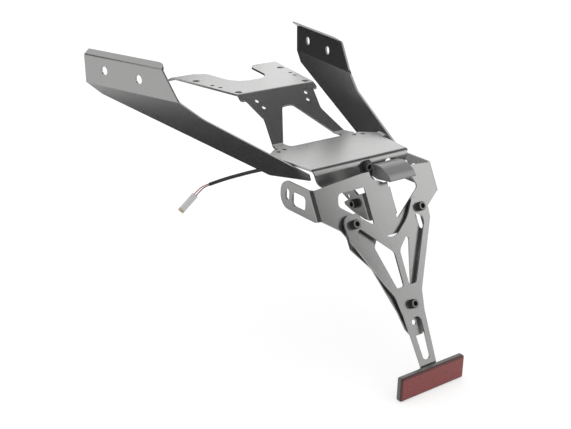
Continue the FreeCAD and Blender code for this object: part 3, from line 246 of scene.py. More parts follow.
@dataclass(frozen=True)
class PowderCoat(Finish):
    """Satin powder coat over sheet metal: orange peel, fine flake and faint handling marks."""

    flake: float = 0.10
    flake_size: float = 0.00035
    flake_share: float = 0.6
    peel_size: float = 0.0011
    peel_gloss: float = 0.08
    peel_share: float = 0.7
    rub_size: float = 0.012
    rub_gloss: float = 0.04

    def paint(self, graph: Graph) -> None:
        """Sets the coat's flake, peel and sheen."""
        cloud = graph.noise(self.mottle_size, 3.0)
        fleck = graph.noise(self.flake_size, 1.0, 0.8).ramp(0.42, 0.62)
        low, high = shade(self.colour, 1 - self.mottle), shade(self.colour, 1 + self.mottle)
        body = graph.blend(cloud, low, high)
        bright = shade(self.colour, 1 + self.flake)
        graph.feed("Base Color", graph.blend(fleck * self.flake_share, body, bright))
        peel = graph.noise(self.peel_size, 2.0)
        rub = graph.noise(self.rub_size, 4.0, 0.65).ramp(0.55, 0.75)
        peeled = self.roughness + (peel - 0.5) * self.peel_gloss
        graph.feed("Roughness", peeled - rub * self.rub_gloss)
        graph.feed("Metallic", self.metallic)
        relief = peel * self.peel_share + fleck * (1 - self.peel_share)
        graph.relief(relief, self.grain_depth)


@dataclass(frozen=True)
class PrismLens(Finish):
    """Red reflector lens: fields of tiny prisms inside a darker rim, behind a smooth glossy face.
    The rim's darker red is painted shade of the bevelled edge.
    """

    cell: float = 0.0021
    centre_high: float = -0.2592
    field_half: float = 0.0448
    field_half_high: float = 0.0117
    rim_fade: float = 0.0004
    slope_across: float = 0.5
    slope_up: float = 0.866
    speckle_size: float = 0.0016
    speckle_gloss: float = 0.08
    facet_share: float = 0.6
    edge_painted_shade: float = 0.35
    dark_shade: float = 0.62
    glint_shade: float = 1.5

    def rim(self, across: Signal, up: Signal) -> Signal:
        """1 on the rim round the prisms, which is painted darker as the bevelled edge's shade, 0
        inside it.

        Args:
            across: The place along the lens.
            up: The place up the lens.

        Returns:
            The rim's mask.
        """
        high = up - self.centre_high
        past_end = across.most(across * -1.0) - self.field_half
        past_side = high.most(high * -1.0) - self.field_half_high
        return past_end.most(past_side).ramp(0.0, self.rim_fade)

    def paint(self, graph: Graph) -> None:
        """Sets the prism cells' colour, with painted glints and shade, and their relief."""
        across, up = graph.axis("X"), graph.axis("Z")
        sideways, upwards = across * self.slope_across, up * self.slope_up
        slant = (sideways + upwards).saw(self.cell)
        lean = (sideways - upwards).saw(self.cell)
        facet = slant.most(lean).most(across.saw(self.cell))
        speckle = graph.noise(self.speckle_size, 2.0, 0.6)
        inside = self.rim(across, up) * -1.0 + 1.0
        # Lighter and darker prism cells and specks are painted glints and painted shade of the
        # prisms.
        prism_glints = (facet.ramp(0.5, 1.0) * self.facet_share
                + speckle.ramp(0.35, 0.75) * (1 - self.facet_share))
        field = graph.blend(prism_glints, shade(self.colour, self.dark_shade),
                            shade(self.colour, self.glint_shade))
        # The rim's darker red is painted shade of the lens's bevelled edge.
        graph.feed("Base Color", graph.blend(inside, shade(self.colour, self.edge_painted_shade), field))
        graph.feed("Roughness", self.roughness + speckle * self.speckle_gloss)
        graph.feed("Metallic", self.metallic)
        graph.feed("Coat Weight", self.coat)
        graph.relief(facet * inside, self.grain_depth)


@dataclass(frozen=True)
class FlutedWindow(Finish):
    """Clear moulded plastic with faint flutes."""

    ridge: Colour = (0.92, 0.94, 0.95, 1.0)
    flute: float = 0.0016
    haze: float = 0.08
    clearness: float = 0.85

    def paint(self, graph: Graph) -> None:
        """Sets the flutes' colour and relief, and how clear the plastic is."""
        flute = graph.axis("X").saw(self.flute)
        graph.feed("Base Color", graph.blend(flute, self.colour, self.ridge))
        graph.feed("Roughness", self.roughness + graph.noise(self.grain) * self.haze)
        graph.feed("Transmission Weight", self.clearness)
        graph.relief(flute, self.grain_depth)


COAT = PowderCoat("satin_coat", (0.34, 0.341, 0.337, 1.0), 0.25, 0.9, grain_depth=0.000005)
WELD_COAT = PowderCoat("coated_weld", (0.38, 0.385, 0.38, 1.0), 0.42, 0.7, grain_depth=0.00004)
# Lighter steel on the screw heads' ends: a painted highlight of the lit end faces.
END_HIGHLIGHT_STEEL = Finish("screw_steel", (0.24, 0.225, 0.20, 1.0), 0.36, 0.9)
BLACKED = Finish("blacked_steel", (0.022, 0.022, 0.022, 1.0), 0.42, 0.2)
ZINC = Finish("zinc_plate", (0.52, 0.52, 0.50, 1.0), 0.34, 1.0, mottle=0.08, mottle_size=0.006)
ALLOY = Finish("turned_alloy", (0.46, 0.46, 0.46, 1.0), 0.36, 1.0, mottle=0.05)
HOUSING = Finish("reflector_plastic", (0.115, 0.114, 0.112, 1.0), 0.22, grain=0.0009,
                 grain_depth=0.00002)
LENS = PrismLens("reflector_red", (0.235, 0.016, 0.014, 1.0), 0.22, grain_depth=0.00006,
                 coat=0.2)
HOOD = Finish("lamp_plastic", (0.30, 0.30, 0.305, 1.0), 0.34, 0.4, grain=0.0008,
              grain_depth=0.00002)
WINDOW = FlutedWindow("lamp_window", (0.80, 0.84, 0.86, 1.0), 0.12, grain=0.003,
                      grain_depth=0.0002)
BACK = Finish("lamp_back_plastic", (0.03, 0.03, 0.03, 1.0), 0.5, grain_depth=0.00002)
SHEATH = Finish("cable_sheath", (0.02, 0.02, 0.02, 1.0), 0.42, grain=0.0015, grain_depth=0.00002)
RED = Finish("red_insulation", (0.42, 0.02, 0.02, 1.0), 0.38)
BLACK = Finish("black_insulation", (0.018, 0.018, 0.018, 1.0), 0.38)
NYLON = Finish("natural_nylon", (0.76, 0.765, 0.76, 1.0), 0.36, coat=0.2, grain=0.002)
MOUTH = Finish("connector_mouth", (0.62, 0.50, 0.36, 1.0), 0.38, coat=0.2, grain=0.002)
BRASS = Finish("tinned_brass", (0.62, 0.52, 0.30, 1.0), 0.3, 1.0)


class Workshop:
    """Keeps the frame, the finishes made so far and the calls that every piece needs.
    """

    def __init__(self, frame: dict) -> None:
        self.frame = frame
        self.made: dict[str, bpy.types.Material] = {}

    def material(self, finish: Finish) -> bpy.types.Material:
        """The material of a finish, made once."""
        if finish.name not in self.made:
            self.made[finish.name] = finish.build()
        return self.made[finish.name]

    def dress_node(self, name: str, finish: Finish) -> None:
        """Gives a CAD node a finish in each of its material slots."""
        mesh = self.frame["nodes"][name].data
        material = self.material(finish)
        if not mesh.materials:
            mesh.materials.append(material)
        for index in range(len(mesh.materials)):
            mesh.materials[index] = material
        LOG.info("dressed %s", name)

    def add(self, name: str, mesh: bpy.types.Mesh, finish: Finish, slot: str) -> None:
        """Adds a piece that rides on the part.

        Args:
            name: The piece's name.
            mesh: Its mesh, in place.
            finish: Its finish, where the mesh has no material yet.
            slot: The record's material slot; not used.
        """
        piece = linked(name, mesh)
        if not mesh.materials:
            mesh.materials.append(self.material(finish))
        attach(piece, BODY)
        LOG.info("made %s", name)

    def stand_for(self, piece: bpy.types.Object, node: str) -> None:
        """Puts a piece on the body in a CAD node's stead, and hides the node."""
        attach(piece, BODY)
        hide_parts(node)
        LOG.info("%s stands for %s", piece.name, node)

    def softened(self, node: str, name: str, finish: Finish, width: float) -> None:
        """Makes a copy of a CAD node with softened edges, and puts it in the node's stead.

        Args:
            node: The CAD node.
            name: The copy's name.
            finish: Its finish.
            width: How wide its edges are rounded, in metres.
        """
        mesh = merged_copy(self.frame["nodes"][node], name)
        mesh.materials.append(self.material(finish))
        piece = linked(name, mesh)
        soften(piece, width)
        self.stand_for(piece, node)


def linked(name: str, data: bpy.types.ID) -> bpy.types.Object:
    """A new object of the scene, at the origin.

    Args:
        name: The object's name.
        data: The mesh, curve, camera or light that it shows.

    Returns:
        The object.
    """
    made = bpy.data.objects.new(name, data)
    bpy.context.scene.collection.objects.link(made)
    return made


def merged_copy(source: bpy.types.Object, name: str) -> bpy.types.Mesh:
    """A CAD node's mesh with its triangles joined up and its flats made whole.

    Args:
        source: The CAD node's object.
        name: The new mesh's name.

    Returns:
        A new mesh without materials.
    """
    work = bmesh.new()
    work.from_mesh(source.data)
    bmesh.ops.remove_doubles(work, verts=work.verts, dist=MERGE_DISTANCE)
    bmesh.ops.dissolve_limit(work, angle_limit=FLAT_ANGLE, verts=work.verts, edges=work.edges)
    mesh = bpy.data.meshes.new(name)
    work.to_mesh(mesh)
    work.free()
    mesh.materials.clear()
    return mesh


def applied(piece: bpy.types.Object) -> None:
    """Turns a piece's modifiers into its own mesh."""
    depsgraph = bpy.context.evaluated_depsgraph_get()
    result = bpy.data.meshes.new_from_object(piece.evaluated_get(depsgraph))
    piece.modifiers.clear()
    piece.data = result


def soften(piece: bpy.types.Object, width: float, angle: float = 32.0, segments: int = 2) -> None:
    """Rounds a piece's sharp edges a little and keeps its flats flat.

    Args:
        piece: The object.
        width: The rounding's width in metres.
        angle: Edges that turn more than this many degrees are rounded.
        segments: How many steps the rounding has.
    """
    piece.data.polygons.foreach_set("use_smooth", [True] * len(piece.data.polygons))
    bevel = piece.modifiers.new("edge", "BEVEL")
    bevel.width = width
    bevel.segments = segments
    bevel.limit_method = "ANGLE"
    bevel.angle_limit = math.radians(angle)
    bevel.use_clamp_overlap = True
    weighted = piece.modifiers.new("flats", "WEIGHTED_NORMAL")
    weighted.mode = "FACE_AREA"
    weighted.weight = 100
    weighted.thresh = 0.01
    applied(piece)


class SocketName(Enum):
    """Named inputs of the Geometry Nodes trees."""

    COUNT = "Count"
    RADIUS = "Radius"
    HEIGHT = "Height"
    LENGTH = "Length"


class NodeRecipe:
    """A Geometry Nodes tree with named inputs, turned into a plain mesh.

    Args:
        name: The tree's name.
        inputs: Each named input's type and value.
    """

    def __init__(self, name: str, inputs: dict[SocketName, tuple[str, float]]) -> None:
        self.tree = bpy.data.node_groups.new(name, "GeometryNodeTree")
        self.values = inputs
        self.ids: dict[SocketName, str] = {}
        face = self.tree.interface
        face.new_socket("Geometry", in_out="INPUT", socket_type="NodeSocketGeometry")
        for key, (kind, _) in inputs.items():
            made = face.new_socket(key.value, in_out="INPUT", socket_type=kind)
            self.ids[key] = made.identifier
        face.new_socket("Geometry", in_out="OUTPUT", socket_type="NodeSocketGeometry")
        self.entry = self.tree.nodes.new("NodeGroupInput")
        self.exit = self.tree.nodes.new("NodeGroupOutput")

    def given(self, key: SocketName) -> bpy.types.NodeSocket:
        """The group input's socket of this name."""
        return self.entry.outputs[key.value]

    def node(self, kind: str, settings: dict, sockets: dict) -> bpy.types.Node:
        """Adds a node to the tree.

        Args:
            kind: The node's type.
            settings: Its own settings by name.
            sockets: Values, or output sockets to link, by socket name or index.

        Returns:
            The new node.
        """
        made = self.tree.nodes.new(kind)
        for key, value in settings.items():
            setattr(made, key, value)
        for key, value in sockets.items():
            if isinstance(value, bpy.types.NodeSocket):
                self.tree.links.new(value, made.inputs[key])
            else:
                made.inputs[key].default_value = value
        return made

    def finish(self, geometry: bpy.types.NodeSocket, material: bpy.types.Material) -> None:
        """Realizes the instances, sets their material and closes the tree."""
        real = self.node("GeometryNodeRealizeInstances", {}, {0: geometry})
        dressed = self.node("GeometryNodeSetMaterial", {}, {0: real.outputs[0]})
        dressed.inputs["Material"].default_value = material
        self.tree.links.new(dressed.outputs[0], self.exit.inputs[0])

    def mesh(self, name: str, place: Matrix) -> bpy.types.Mesh:
        """Runs the tree and gives its result, put in place.

        Args:
            name: The new mesh's name.
            place: Where the result goes.

        Returns:
            A plain mesh.
        """
        holder = bpy.data.objects.new(name, bpy.data.meshes.new(name))
        bpy.context.scene.collection.objects.link(holder)
        modifier = holder.modifiers.new("recipe", "NODES")
        modifier.node_group = self.tree
        for key, (_, value) in self.values.items():
            modifier[self.ids[key]] = value
        depsgraph = bpy.context.evaluated_depsgraph_get()
        result = bpy.data.meshes.new_from_object(holder.evaluated_get(depsgraph))
        holder.modifiers.clear()
        bpy.data.objects.remove(holder)
        result.transform(place)
        return result


def joined(name: str, meshes: list[bpy.types.Mesh]) -> bpy.types.Mesh:
    """One mesh made of several that share their material.

    Args:
        name: The new mesh's name.
        meshes: The meshes, all in place.

    Returns:
        The joined mesh.
    """
    work = bmesh.new()
    for mesh in meshes:
        work.from_mesh(mesh)
    result = bpy.data.meshes.new(name)
    work.to_mesh(result)
    work.free()
    for material in meshes[0].materials:
        result.materials.append(material)
    return result


def standing(point: Vector, way: Vector) -> Matrix:
    """The matrix that takes +Z to a way and the origin to a point."""
    turn = way.normalized().to_track_quat("Z", "Y").to_matrix().to_4x4()
    return Matrix.Translation(point) @ turn


@dataclass
class SheetWork:
    """The folded sheets, their laser-cut edges broken and coated with the rest."""

    shop: Workshop
    edge: float = 0.00035
    nodes: tuple[str, ...] = ("main_bracket", "left_arm", "right_arm", "hinge_bracket",
                              "licence_bracket", "reflector_bracket")

    def build(self) -> None:
        """Makes a softened copy of each sheet in place of its CAD node."""
        for node in self.nodes:
            self.shop.softened(node, node + "_sheet", COAT, self.edge)


@dataclass
class WeldBeads:
    """Weld beads that join the arms and the hinge web to the tray.

    Each row of ripples starts at the front end of the arm welds' box and runs back, leaning
    inwards. Its insets are how far its ends lie inside that box, in metres.
    """

    shop: Workshop
    ripples: int = 12
    radius: float = 0.0027
    flatness: float = 0.55
    segments: int = 20
    rings: int = 12
    front_inset: tuple[float, float] = (0.0022, 0.0020)
    rear_inset: tuple[float, float] = (0.0052, 0.0016)
    sunk: float = 0.0024

    def build(self) -> None:
        """Adds the rippled beads over the plain CAD ones and dresses those."""
        low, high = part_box("arm_welds")
        for node in ("arm_welds", "hinge_welds"):
            self.shop.dress_node(node, WELD_COAT)
        level = high.z - self.sunk
        start = Vector((high.x - self.front_inset[0], high.y - self.front_inset[1], level))
        end = Vector((high.x - self.rear_inset[0], low.y + self.rear_inset[1], level))
        run = end - start
        recipe = NodeRecipe("bead_ripples", {
            SocketName.COUNT: ("NodeSocketInt", self.ripples),
            SocketName.RADIUS: ("NodeSocketFloat", self.radius),
            SocketName.LENGTH: ("NodeSocketFloat", run.length),
        })
        spaced = recipe.node("GeometryNodeMeshLine", {"mode": "END_POINTS"},
                             {"Count": recipe.given(SocketName.COUNT)})
        reach = recipe.node("ShaderNodeCombineXYZ", {}, {"Z": recipe.given(SocketName.LENGTH)})
        recipe.tree.links.new(reach.outputs[0], spaced.inputs["Offset"])
        drop = recipe.node("GeometryNodeMeshUVSphere", {}, {
            "Segments": self.segments, "Rings": self.rings,
            "Radius": recipe.given(SocketName.RADIUS)})
        placed = recipe.node("GeometryNodeInstanceOnPoints", {}, {
            "Points": spaced.outputs[0], "Instance": drop.outputs[0],
            "Scale": (1.0, 1.0, self.flatness)})
        recipe.finish(placed.outputs[0], self.shop.material(WELD_COAT))
        beads = []
        for side in (1, -1):
            first = Vector((side * start.x, start.y, start.z))
            way = Vector((side * run.x, run.y, run.z))
            beads.append(recipe.mesh("bead", standing(first, way)))
        mesh = joined("arm_weld_ripples", beads)
        mesh.polygons.foreach_set("use_smooth", [True] * len(mesh.polygons))
        self.shop.add("arm_weld_ripples", mesh, WELD_COAT, "arm_welds")


@dataclass
class Screws:
    """Socket screws with knurled heads, and the plain hardware that goes with them."""

    shop: Workshop
    tilt: float = math.radians(28)
    plate_top: tuple[float, float, float] = (0, -259.9, -58.8)
    brace_face: float = 0.005
    brace_spots: tuple[tuple[float, float], ...] = ((47.8, 45.8), (-47.8, 45.8), (0.0, 146.0))
    head: float = 0.005
    head_high: float = 0.006
    ribs: int = 44
    rib_radius: float = 0.00030
    rib_sides: int = 6
    rib_sunk: float = 0.00012
    rib_share: float = 0.72
    rib_middle: float = 0.44
    # Profile of the lighter ring on each head's end, a painted highlight.
    ring: tuple[tuple[float, float], ...] = (
        (0.00302, 0.0), (0.00308, 0.00005), (0.00442, 0.00005), (0.00450, 0.0))
    ring_steps: int = 48
    plain: dict[str, Finish] = field(default_factory=lambda: {
        "flap_nuts": ZINC, "bracket_nuts": ZINC, "bracket_washers": ZINC,
        "reflector_nut": ZINC, "reflector_stud": ZINC, "bracket_spacers": ALLOY,
    })

    def seats(self) -> list[tuple[str, Vector, Vector]]:
        """Where each knurled head sits: its node, its seat and the way it faces."""
        back = Vector((0, -math.cos(self.tilt), math.sin(self.tilt)))
        down = Vector((0, -math.sin(self.tilt), -math.cos(self.tilt)))
        top = millimetres(*self.plate_top)
        found = []
        for across, along in self.brace_spots:
            spot = top + Vector((across * MM, 0, 0)) + down * (along * MM)
            found.append(("bracket_screws", spot + back * self.brace_face, back))
        low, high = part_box("flap_screws")
        middle = (low + high) / 2
        for side in (1, -1):
            seat = Vector((side * (high.x - self.head_high), middle.y, middle.z))
            found.append(("flap_screws", seat, Vector((side, 0, 0))))
        lamp_low, lamp_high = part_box("lamp_screw")
        centre = (lamp_low + lamp_high) / 2
        seat = Vector((centre.x, lamp_low.y + self.head_high, centre.z))
        found.append(("lamp_screw", seat, Vector((0, -1, 0))))
        return found

    def knurl(self, name: str, finish: Finish) -> NodeRecipe:
        """A ring of upright ribs round a screw head.

        Args:
            name: The tree's name.
            finish: The ribs' finish.

        Returns:
            The recipe, ready to run.
        """
        recipe = NodeRecipe(name, {
            SocketName.COUNT: ("NodeSocketInt", self.ribs),
            SocketName.RADIUS: ("NodeSocketFloat", self.head - self.rib_sunk),
            SocketName.HEIGHT: ("NodeSocketFloat", self.head_high * self.rib_share),
        })
        circle = recipe.node("GeometryNodeMeshCircle", {}, {
            "Vertices": recipe.given(SocketName.COUNT), "Radius": recipe.given(SocketName.RADIUS)})
        rib = recipe.node("GeometryNodeMeshCylinder", {}, {
            "Vertices": self.rib_sides, "Radius": self.rib_radius,
            "Depth": recipe.given(SocketName.HEIGHT)})
        placed = recipe.node("GeometryNodeInstanceOnPoints", {}, {
            "Points": circle.outputs[0], "Instance": rib.outputs[0]})
        recipe.finish(placed.outputs[0], self.shop.material(finish))
        return recipe

    def build(self) -> None:
        """Adds the knurls and dresses the hardware."""
        for node, finish in self.plain.items():
            self.shop.dress_node(node, finish)
        for node in ("bracket_screws", "flap_screws", "lamp_screw"):
            self.shop.dress_node(node, BLACKED)
        knurls: dict[str, list[bpy.types.Mesh]] = {}
        rings: dict[str, list[bpy.types.Mesh]] = {}
        for node, seat, way in self.seats():
            recipe = self.knurl(node + "_knurl", BLACKED)
            middle = standing(seat + way * (self.head_high * self.rib_middle), way)
            knurls.setdefault(node, []).append(recipe.mesh(node, middle))
            # Each head's end gets a lighter steel ring: a painted highlight of the lit end.
            top = standing(seat + way * self.head_high, way)
            rings.setdefault(node, []).append(self.turned_ring(top))
        for node, meshes in knurls.items():
            self.shop.add(node + "_knurls", joined(node + "_knurls", meshes), BLACKED, node)
            self.shop.add(node + "_ends", joined(node + "_ends", rings[node]), END_HIGHLIGHT_STEEL, node)

    def turned_ring(self, place: Matrix) -> bpy.types.Mesh:
        """The lighter steel ring round a head's socket: a painted highlight of the head's lit end.

        Args:
            place: The head's end, facing out.

        Returns:
            The ring's mesh, in place.
        """
        mesh = bpy.data.meshes.new("turned_ring")
        steps, rows = self.ring_steps, len(self.ring)
        points, faces = [], []
        for step in range(steps):
            turn = 2 * math.pi * step / steps
            points += [(radius * math.cos(turn), radius * math.sin(turn), level)
                       for radius, level in self.ring]
            here, after = rows * step, rows * ((step + 1) % steps)
            faces += [(here + row, here + row + 1, after + row + 1, after + row)
                      for row in range(rows - 1)]
        mesh.from_pydata(points, [], faces)
        mesh.transform(place)
        return mesh


@dataclass
class Reflector:
    """The rear reflector: housing and prism lens."""

    shop: Workshop
    housing_edge: float = 0.0005
    lens_edge: float = 0.0006

    def build(self) -> None:
        """Dresses the housing and the lens with softened edges."""
        for node, finish, width in (("reflector_housing", HOUSING, self.housing_edge),
                                    ("reflector_lens", LENS, self.lens_edge)):
            self.shop.softened(node, node + "_body", finish, width)


@dataclass
class Lamp:
    """The licence plate lamp: back plate, hood and window."""

    shop: Workshop
    hood_edge: float = 0.0005
    back_edge: float = 0.0003

    def build(self) -> None:
        """Dresses the lamp's pieces."""
        for node, finish, width in (("lamp_hood", HOOD, self.hood_edge),
                                    ("lamp_back_plate", BACK, self.back_edge)):
            self.shop.softened(node, node + "_body", finish, width)
        self.shop.dress_node("lamp_lens", WINDOW)


@dataclass
class Wiring:
    """The lamp's cable, its two wires and the connector at their end.

    The route, the plug's place and the lengths here are in millimetres, as the source has them.
    """

    shop: Workshop
    route: tuple[tuple[float, float, float], ...] = (
        (38, -241.054, -58), (38, -224, -58), (33.5, -201, -59.2), (22.5, -179, -63.1),
        (4, -158, -70), (-10, -133, -79.5), (-22, -106, -89.5), (-31, -80, -99.5),
        (-38, -54, -111.5), (-45.5, -32, -122), (-52, -10, -134),
    )
    plug_top: tuple[float, float, float] = (-59, 14, -154.4)
    plug_way: tuple[float, float, float] = (-21, 7, -23.2)
    stub: float = 9.5
    apart: float = 1.1
    pins_apart: float = 1.5
    mouth_from: float = 25.0
    sheath_radius: float = 2.25
    wire_radius: float = 0.7
    plug_edge: float = 0.3

    def line(self, name: str, points: list[Vector], radius: float,
             finish: Finish) -> bpy.types.Object:
        """A round cord whose centreline is a smooth spline over the points.

        Args:
            name: The curve's name.
            points: The route's control points in metres.
            radius: The cord's radius in metres.
            finish: Its finish.

        Returns:
            The curve object.
        """
        curve = bpy.data.curves.new(name, "CURVE")
        curve.dimensions = "3D"
        curve.bevel_depth = radius
        curve.bevel_resolution = 5
        curve.use_fill_caps = True
        spline = curve.splines.new("NURBS")
        spline.points.add(len(points) - 1)
        for point, place in zip(spline.points, points):
            point.co = (*place, 1.0)
        spline.order_u = 3
        spline.use_endpoint_u = True
        spline.resolution_u = 12
        curve.materials.append(self.shop.material(finish))
        return linked(name, curve)

    def colour_mouth(self, shell: bpy.types.Mesh, start: Vector, way: Vector) -> None:
        """Gives the connector its nylon and its tan mouth, and leaves its shape alone.

        Args:
            shell: The connector's mesh.
            start: The point where the mouth begins.
            way: The way from the wire end to the mouth.
        """
        bm = bmesh.new()
        bm.from_mesh(shell)
        bmesh.ops.bisect_plane(bm, geom=bm.verts[:] + bm.edges[:] + bm.faces[:],
                               plane_co=start, plane_no=way)
        for face in bm.faces:
            face.material_index = int((face.calc_center_median() - start).dot(way) > 0)
        bm.to_mesh(shell)
        bm.free()
        for finish in (NYLON, MOUTH):
            shell.materials.append(self.shop.material(finish))

    def build(self) -> None:
        """Lays the cable and the wires, and dresses the connector."""
        route = [millimetres(*point) for point in self.route]
        cable = self.line("lamp_cable_sheath", route, self.sheath_radius * MM, SHEATH)
        self.shop.stand_for(cable, "lamp_cable")
        end, top = route[-1], millimetres(*self.plug_top)
        way = (route[-1] - route[-2]).normalized()
        plug = Vector(self.plug_way).normalized()
        side = way.cross(plug).normalized()
        self.shop.dress_node("terminals", BRASS)
        shell = merged_copy(self.shop.frame["nodes"]["connector_shell"], "connector_body")
        self.colour_mouth(shell, top + plug * self.mouth_from * MM, plug)
        body = linked("connector_body", shell)
        soften(body, self.plug_edge * MM)
        self.shop.stand_for(body, "connector_shell")
        for name, node, hand, finish, length in (
                ("red_wire_lead", "red_wire", 1, RED, 0.0347),
                ("black_wire_lead", "black_wire", -1, BLACK, 0.0350)):
            first = end + side * (hand * self.apart * MM)
            last = top + side * (hand * self.apart * self.pins_apart * MM)
            points = [first, first + way * self.stub * MM, last - plug * self.stub * MM, last]
            wire = self.line(name, points, self.wire_radius * MM, finish)
            self.shop.stand_for(wire, node)


@dataclass(frozen=True)
class Card:
    """A dark card that stands in the studio: the metal mirrors it, the camera looks past it."""

    name: str
    place: tuple[float, float, float]
    way: tuple[float, float, float]
    wide: float
    high: float


@dataclass(frozen=True)
class Softbox:
    """A square lamp behind white cloth, aimed at the part's middle."""

    name: str
    place: tuple[float, float, float]
    size: float
    watts: float


CARDS = (
    Card("card_overhead", (0.62, -0.21, 0.88), (-0.62, 0.06, -0.88), 0.60, 0.60),
    Card("card_behind", (-0.015, 0.27, -0.11), (0.0, -1.0, 0.0), 0.49, 0.32),
    Card("card_low_left", (-0.23, 0.08, -0.271), (0.0, 0.0, 1.0), 0.24, 0.56),
    Card("card_in_front", (-0.50, -0.90, 0.40), (0.0, 1.0, 0.0), 2.00, 0.64),
    Card("card_at_left", (-0.90, -0.50, 0.20), (1.0, 0.0, 0.0), 0.80, 0.94),
    Card("card_low_front", (0.36, -0.70, -0.271), (0.0, 0.0, 1.0), 0.50, 0.50),
    Card("card_high_left", (-0.657, 0.66, 0.364), (0.56, -0.73, -0.38), 0.35, 0.35),
)
SOFTBOXES = (
    Softbox("key_softbox", (1.55, -1.45, 0.80), 0.90, 1.9),
    Softbox("rear_softbox", (0.88, 0.95, 0.43), 0.64, 0.7),
)


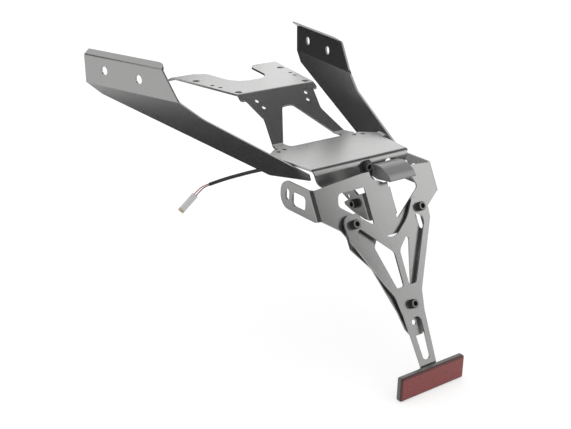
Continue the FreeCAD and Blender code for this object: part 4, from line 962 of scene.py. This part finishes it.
@dataclass
class Studio:
    """White floor and surround, soft light, dark cards and the photograph's camera.

    The eye is in millimetres, the rest in metres, and the roll is in degrees.
    """

    floor_level: float = -0.2735
    floor_reach: float = 12.0
    focal_px: float = 1052.53
    width_px: float = 571.0
    eye: tuple[float, float, float] = (-736.1, -1068.66, 328.29)
    forward: tuple[float, float, float] = (0.5626, 0.7390, -0.3707)
    roll: float = 1.16
    sensor: float = 36.0
    sees_to: float = 50.0
    light_level: float = 0.85
    lamps_aim: tuple[float, float, float] = (0, -0.15, -0.1)
    floor_grey: float = 0.6
    floor_glow: float = 0.55
    card_grey: float = 0.03

    def camera(self) -> None:
        """Puts the camera where the photograph was taken from."""
        data = bpy.data.cameras.new("camera")
        data.sensor_width = self.sensor
        data.sensor_fit = "HORIZONTAL"
        data.lens = self.focal_px / self.width_px * self.sensor
        data.clip_end = self.sees_to
        camera = linked("camera", data)
        way = Vector(self.forward).normalized()
        turn = way.to_track_quat("-Z", "Y").to_matrix().to_4x4()
        tip = Matrix.Rotation(math.radians(-self.roll), 4, way)
        camera.matrix_world = Matrix.Translation(millimetres(*self.eye)) @ tip @ turn
        bpy.context.scene.camera = camera

    def shown(self, tree: bpy.types.NodeTree) -> bpy.types.NodeSocket:
        """Where the white background shows: to the camera, in gloss and through glass.

        Args:
            tree: The node tree that needs the factor.

        Returns:
            A socket that is 1 on those rays and 0 on the rest.
        """
        rays = tree.nodes.new("ShaderNodeLightPath")
        total = rays.outputs["Is Camera Ray"]
        for kind in ("Is Glossy Ray", "Is Transmission Ray"):
            either = tree.nodes.new("ShaderNodeMath")
            either.operation = "MAXIMUM"
            tree.links.new(total, either.inputs[0])
            tree.links.new(rays.outputs[kind], either.inputs[1])
            total = either.outputs[0]
        return total

    def world(self) -> None:
        """An even light all round, with a white background."""
        world = bpy.data.worlds.new("surround")
        bpy.context.scene.world = world
        world.use_nodes = True
        tree = world.node_tree
        tree.nodes.clear()
        soft = tree.nodes.new("ShaderNodeBackground")
        soft.inputs["Strength"].default_value = self.light_level
        white = tree.nodes.new("ShaderNodeBackground")
        for background in (soft, white):
            background.inputs["Color"].default_value = (1.0, 1.0, 1.0, 1.0)
        mix = tree.nodes.new("ShaderNodeMixShader")
        tree.links.new(self.shown(tree), mix.inputs[0])
        tree.links.new(soft.outputs[0], mix.inputs[1])
        tree.links.new(white.outputs[0], mix.inputs[2])
        out = tree.nodes.new("ShaderNodeOutputWorld")
        tree.links.new(mix.outputs[0], out.inputs["Surface"])

    def lamp(self, softbox: Softbox) -> None:
        """Hangs a softbox."""
        data = bpy.data.lights.new(softbox.name, "AREA")
        data.size = softbox.size
        data.energy = softbox.watts
        lamp = linked(softbox.name, data)
        spot = Vector(softbox.place)
        lamp.matrix_world = standing(spot, spot - Vector(self.lamps_aim))
        lamp.visible_camera = False

    def sheet(self, name: str, wide: float, high: float, place: Matrix,
              material: bpy.types.Material) -> bpy.types.Object:
        """Adds a flat rectangle to the studio.

        Args:
            name: The rectangle's name.
            wide: Its size along its own X.
            high: Its size along its own Y.
            place: Where it stands, and which way it faces.
            material: What it is made of.

        Returns:
            The new object.
        """
        corners = [(x * wide / 2, y * high / 2, 0.0)
                   for x, y in ((-1, -1), (1, -1), (1, 1), (-1, 1))]
        mesh = bpy.data.meshes.new(name)
        mesh.from_pydata([place @ Vector(corner) for corner in corners], [], [(0, 1, 2, 3)])
        mesh.materials.append(material)
        rectangle = linked(name, mesh)
        return rectangle

    def matt(self, name: str, grey: float) -> tuple[bpy.types.Material, bpy.types.NodeSocket,
                                                    bpy.types.NodeSocket]:
        """A matt grey material whose surface isn't linked yet.

        Args:
            name: The material's name.
            grey: How light it is.

        Returns:
            The material, its matt shader and the surface socket that waits for a shader.
        """
        material = bpy.data.materials.new(name)
        material.use_nodes = True
        tree = material.node_tree
        tree.nodes.clear()
        matt = tree.nodes.new("ShaderNodeBsdfDiffuse")
        matt.inputs["Color"].default_value = (grey, grey, grey, 1)
        out = tree.nodes.new("ShaderNodeOutputMaterial")
        return material, matt.outputs[0], out.inputs["Surface"]

    def floor(self) -> None:
        """A white floor that takes the part's shadow."""
        material, matt, surface = self.matt("white_floor", self.floor_grey)
        tree = material.node_tree
        strength = tree.nodes.new("ShaderNodeMath")
        strength.operation = "MULTIPLY"
        tree.links.new(self.shown(tree), strength.inputs[0])
        strength.inputs[1].default_value = self.floor_glow
        prism_glints = tree.nodes.new("ShaderNodeEmission")
        tree.links.new(strength.outputs[0], prism_glints.inputs["Strength"])
        total = tree.nodes.new("ShaderNodeAddShader")
        tree.links.new(matt, total.inputs[0])
        tree.links.new(prism_glints.outputs[0], total.inputs[1])
        tree.links.new(total.outputs[0], surface)
        self.sheet("floor", 2 * self.floor_reach, 2 * self.floor_reach,
                   Matrix.Translation((0, 0, self.floor_level)), material)

    def cards(self) -> None:
        """Stands the dark cards where the metal's dark edges and faces come from."""
        material, matt, surface = self.matt("black_card", self.card_grey)
        material.node_tree.links.new(matt, surface)
        for card in CARDS:
            stood = self.sheet(card.name, card.wide, card.high,
                               standing(Vector(card.place), Vector(card.way)), material)
            stood.visible_camera = False
            stood.visible_diffuse = False
            stood.visible_shadow = False

    def build(self) -> None:
        """Sets up the camera, the surround, the lamps, the floor and the cards."""
        bpy.context.scene.view_settings.view_transform = "Standard"
        self.camera()
        self.world()
        for softbox in SOFTBOXES:
            self.lamp(softbox)
        self.floor()
        self.cards()
        LOG.info("studio ready")


def main() -> None:
    """Builds every sub-assembly and the studio, in order."""
    logging.basicConfig(level=logging.INFO, format="%(name)s: %(message)s")
    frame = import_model()
    shop = Workshop(frame)
    for assembly in (SheetWork(shop), WeldBeads(shop), Screws(shop), Reflector(shop), Lamp(shop),
                     Wiring(shop)):
        assembly.build()
    Studio().build()


if __name__ == "__main__":
    main()
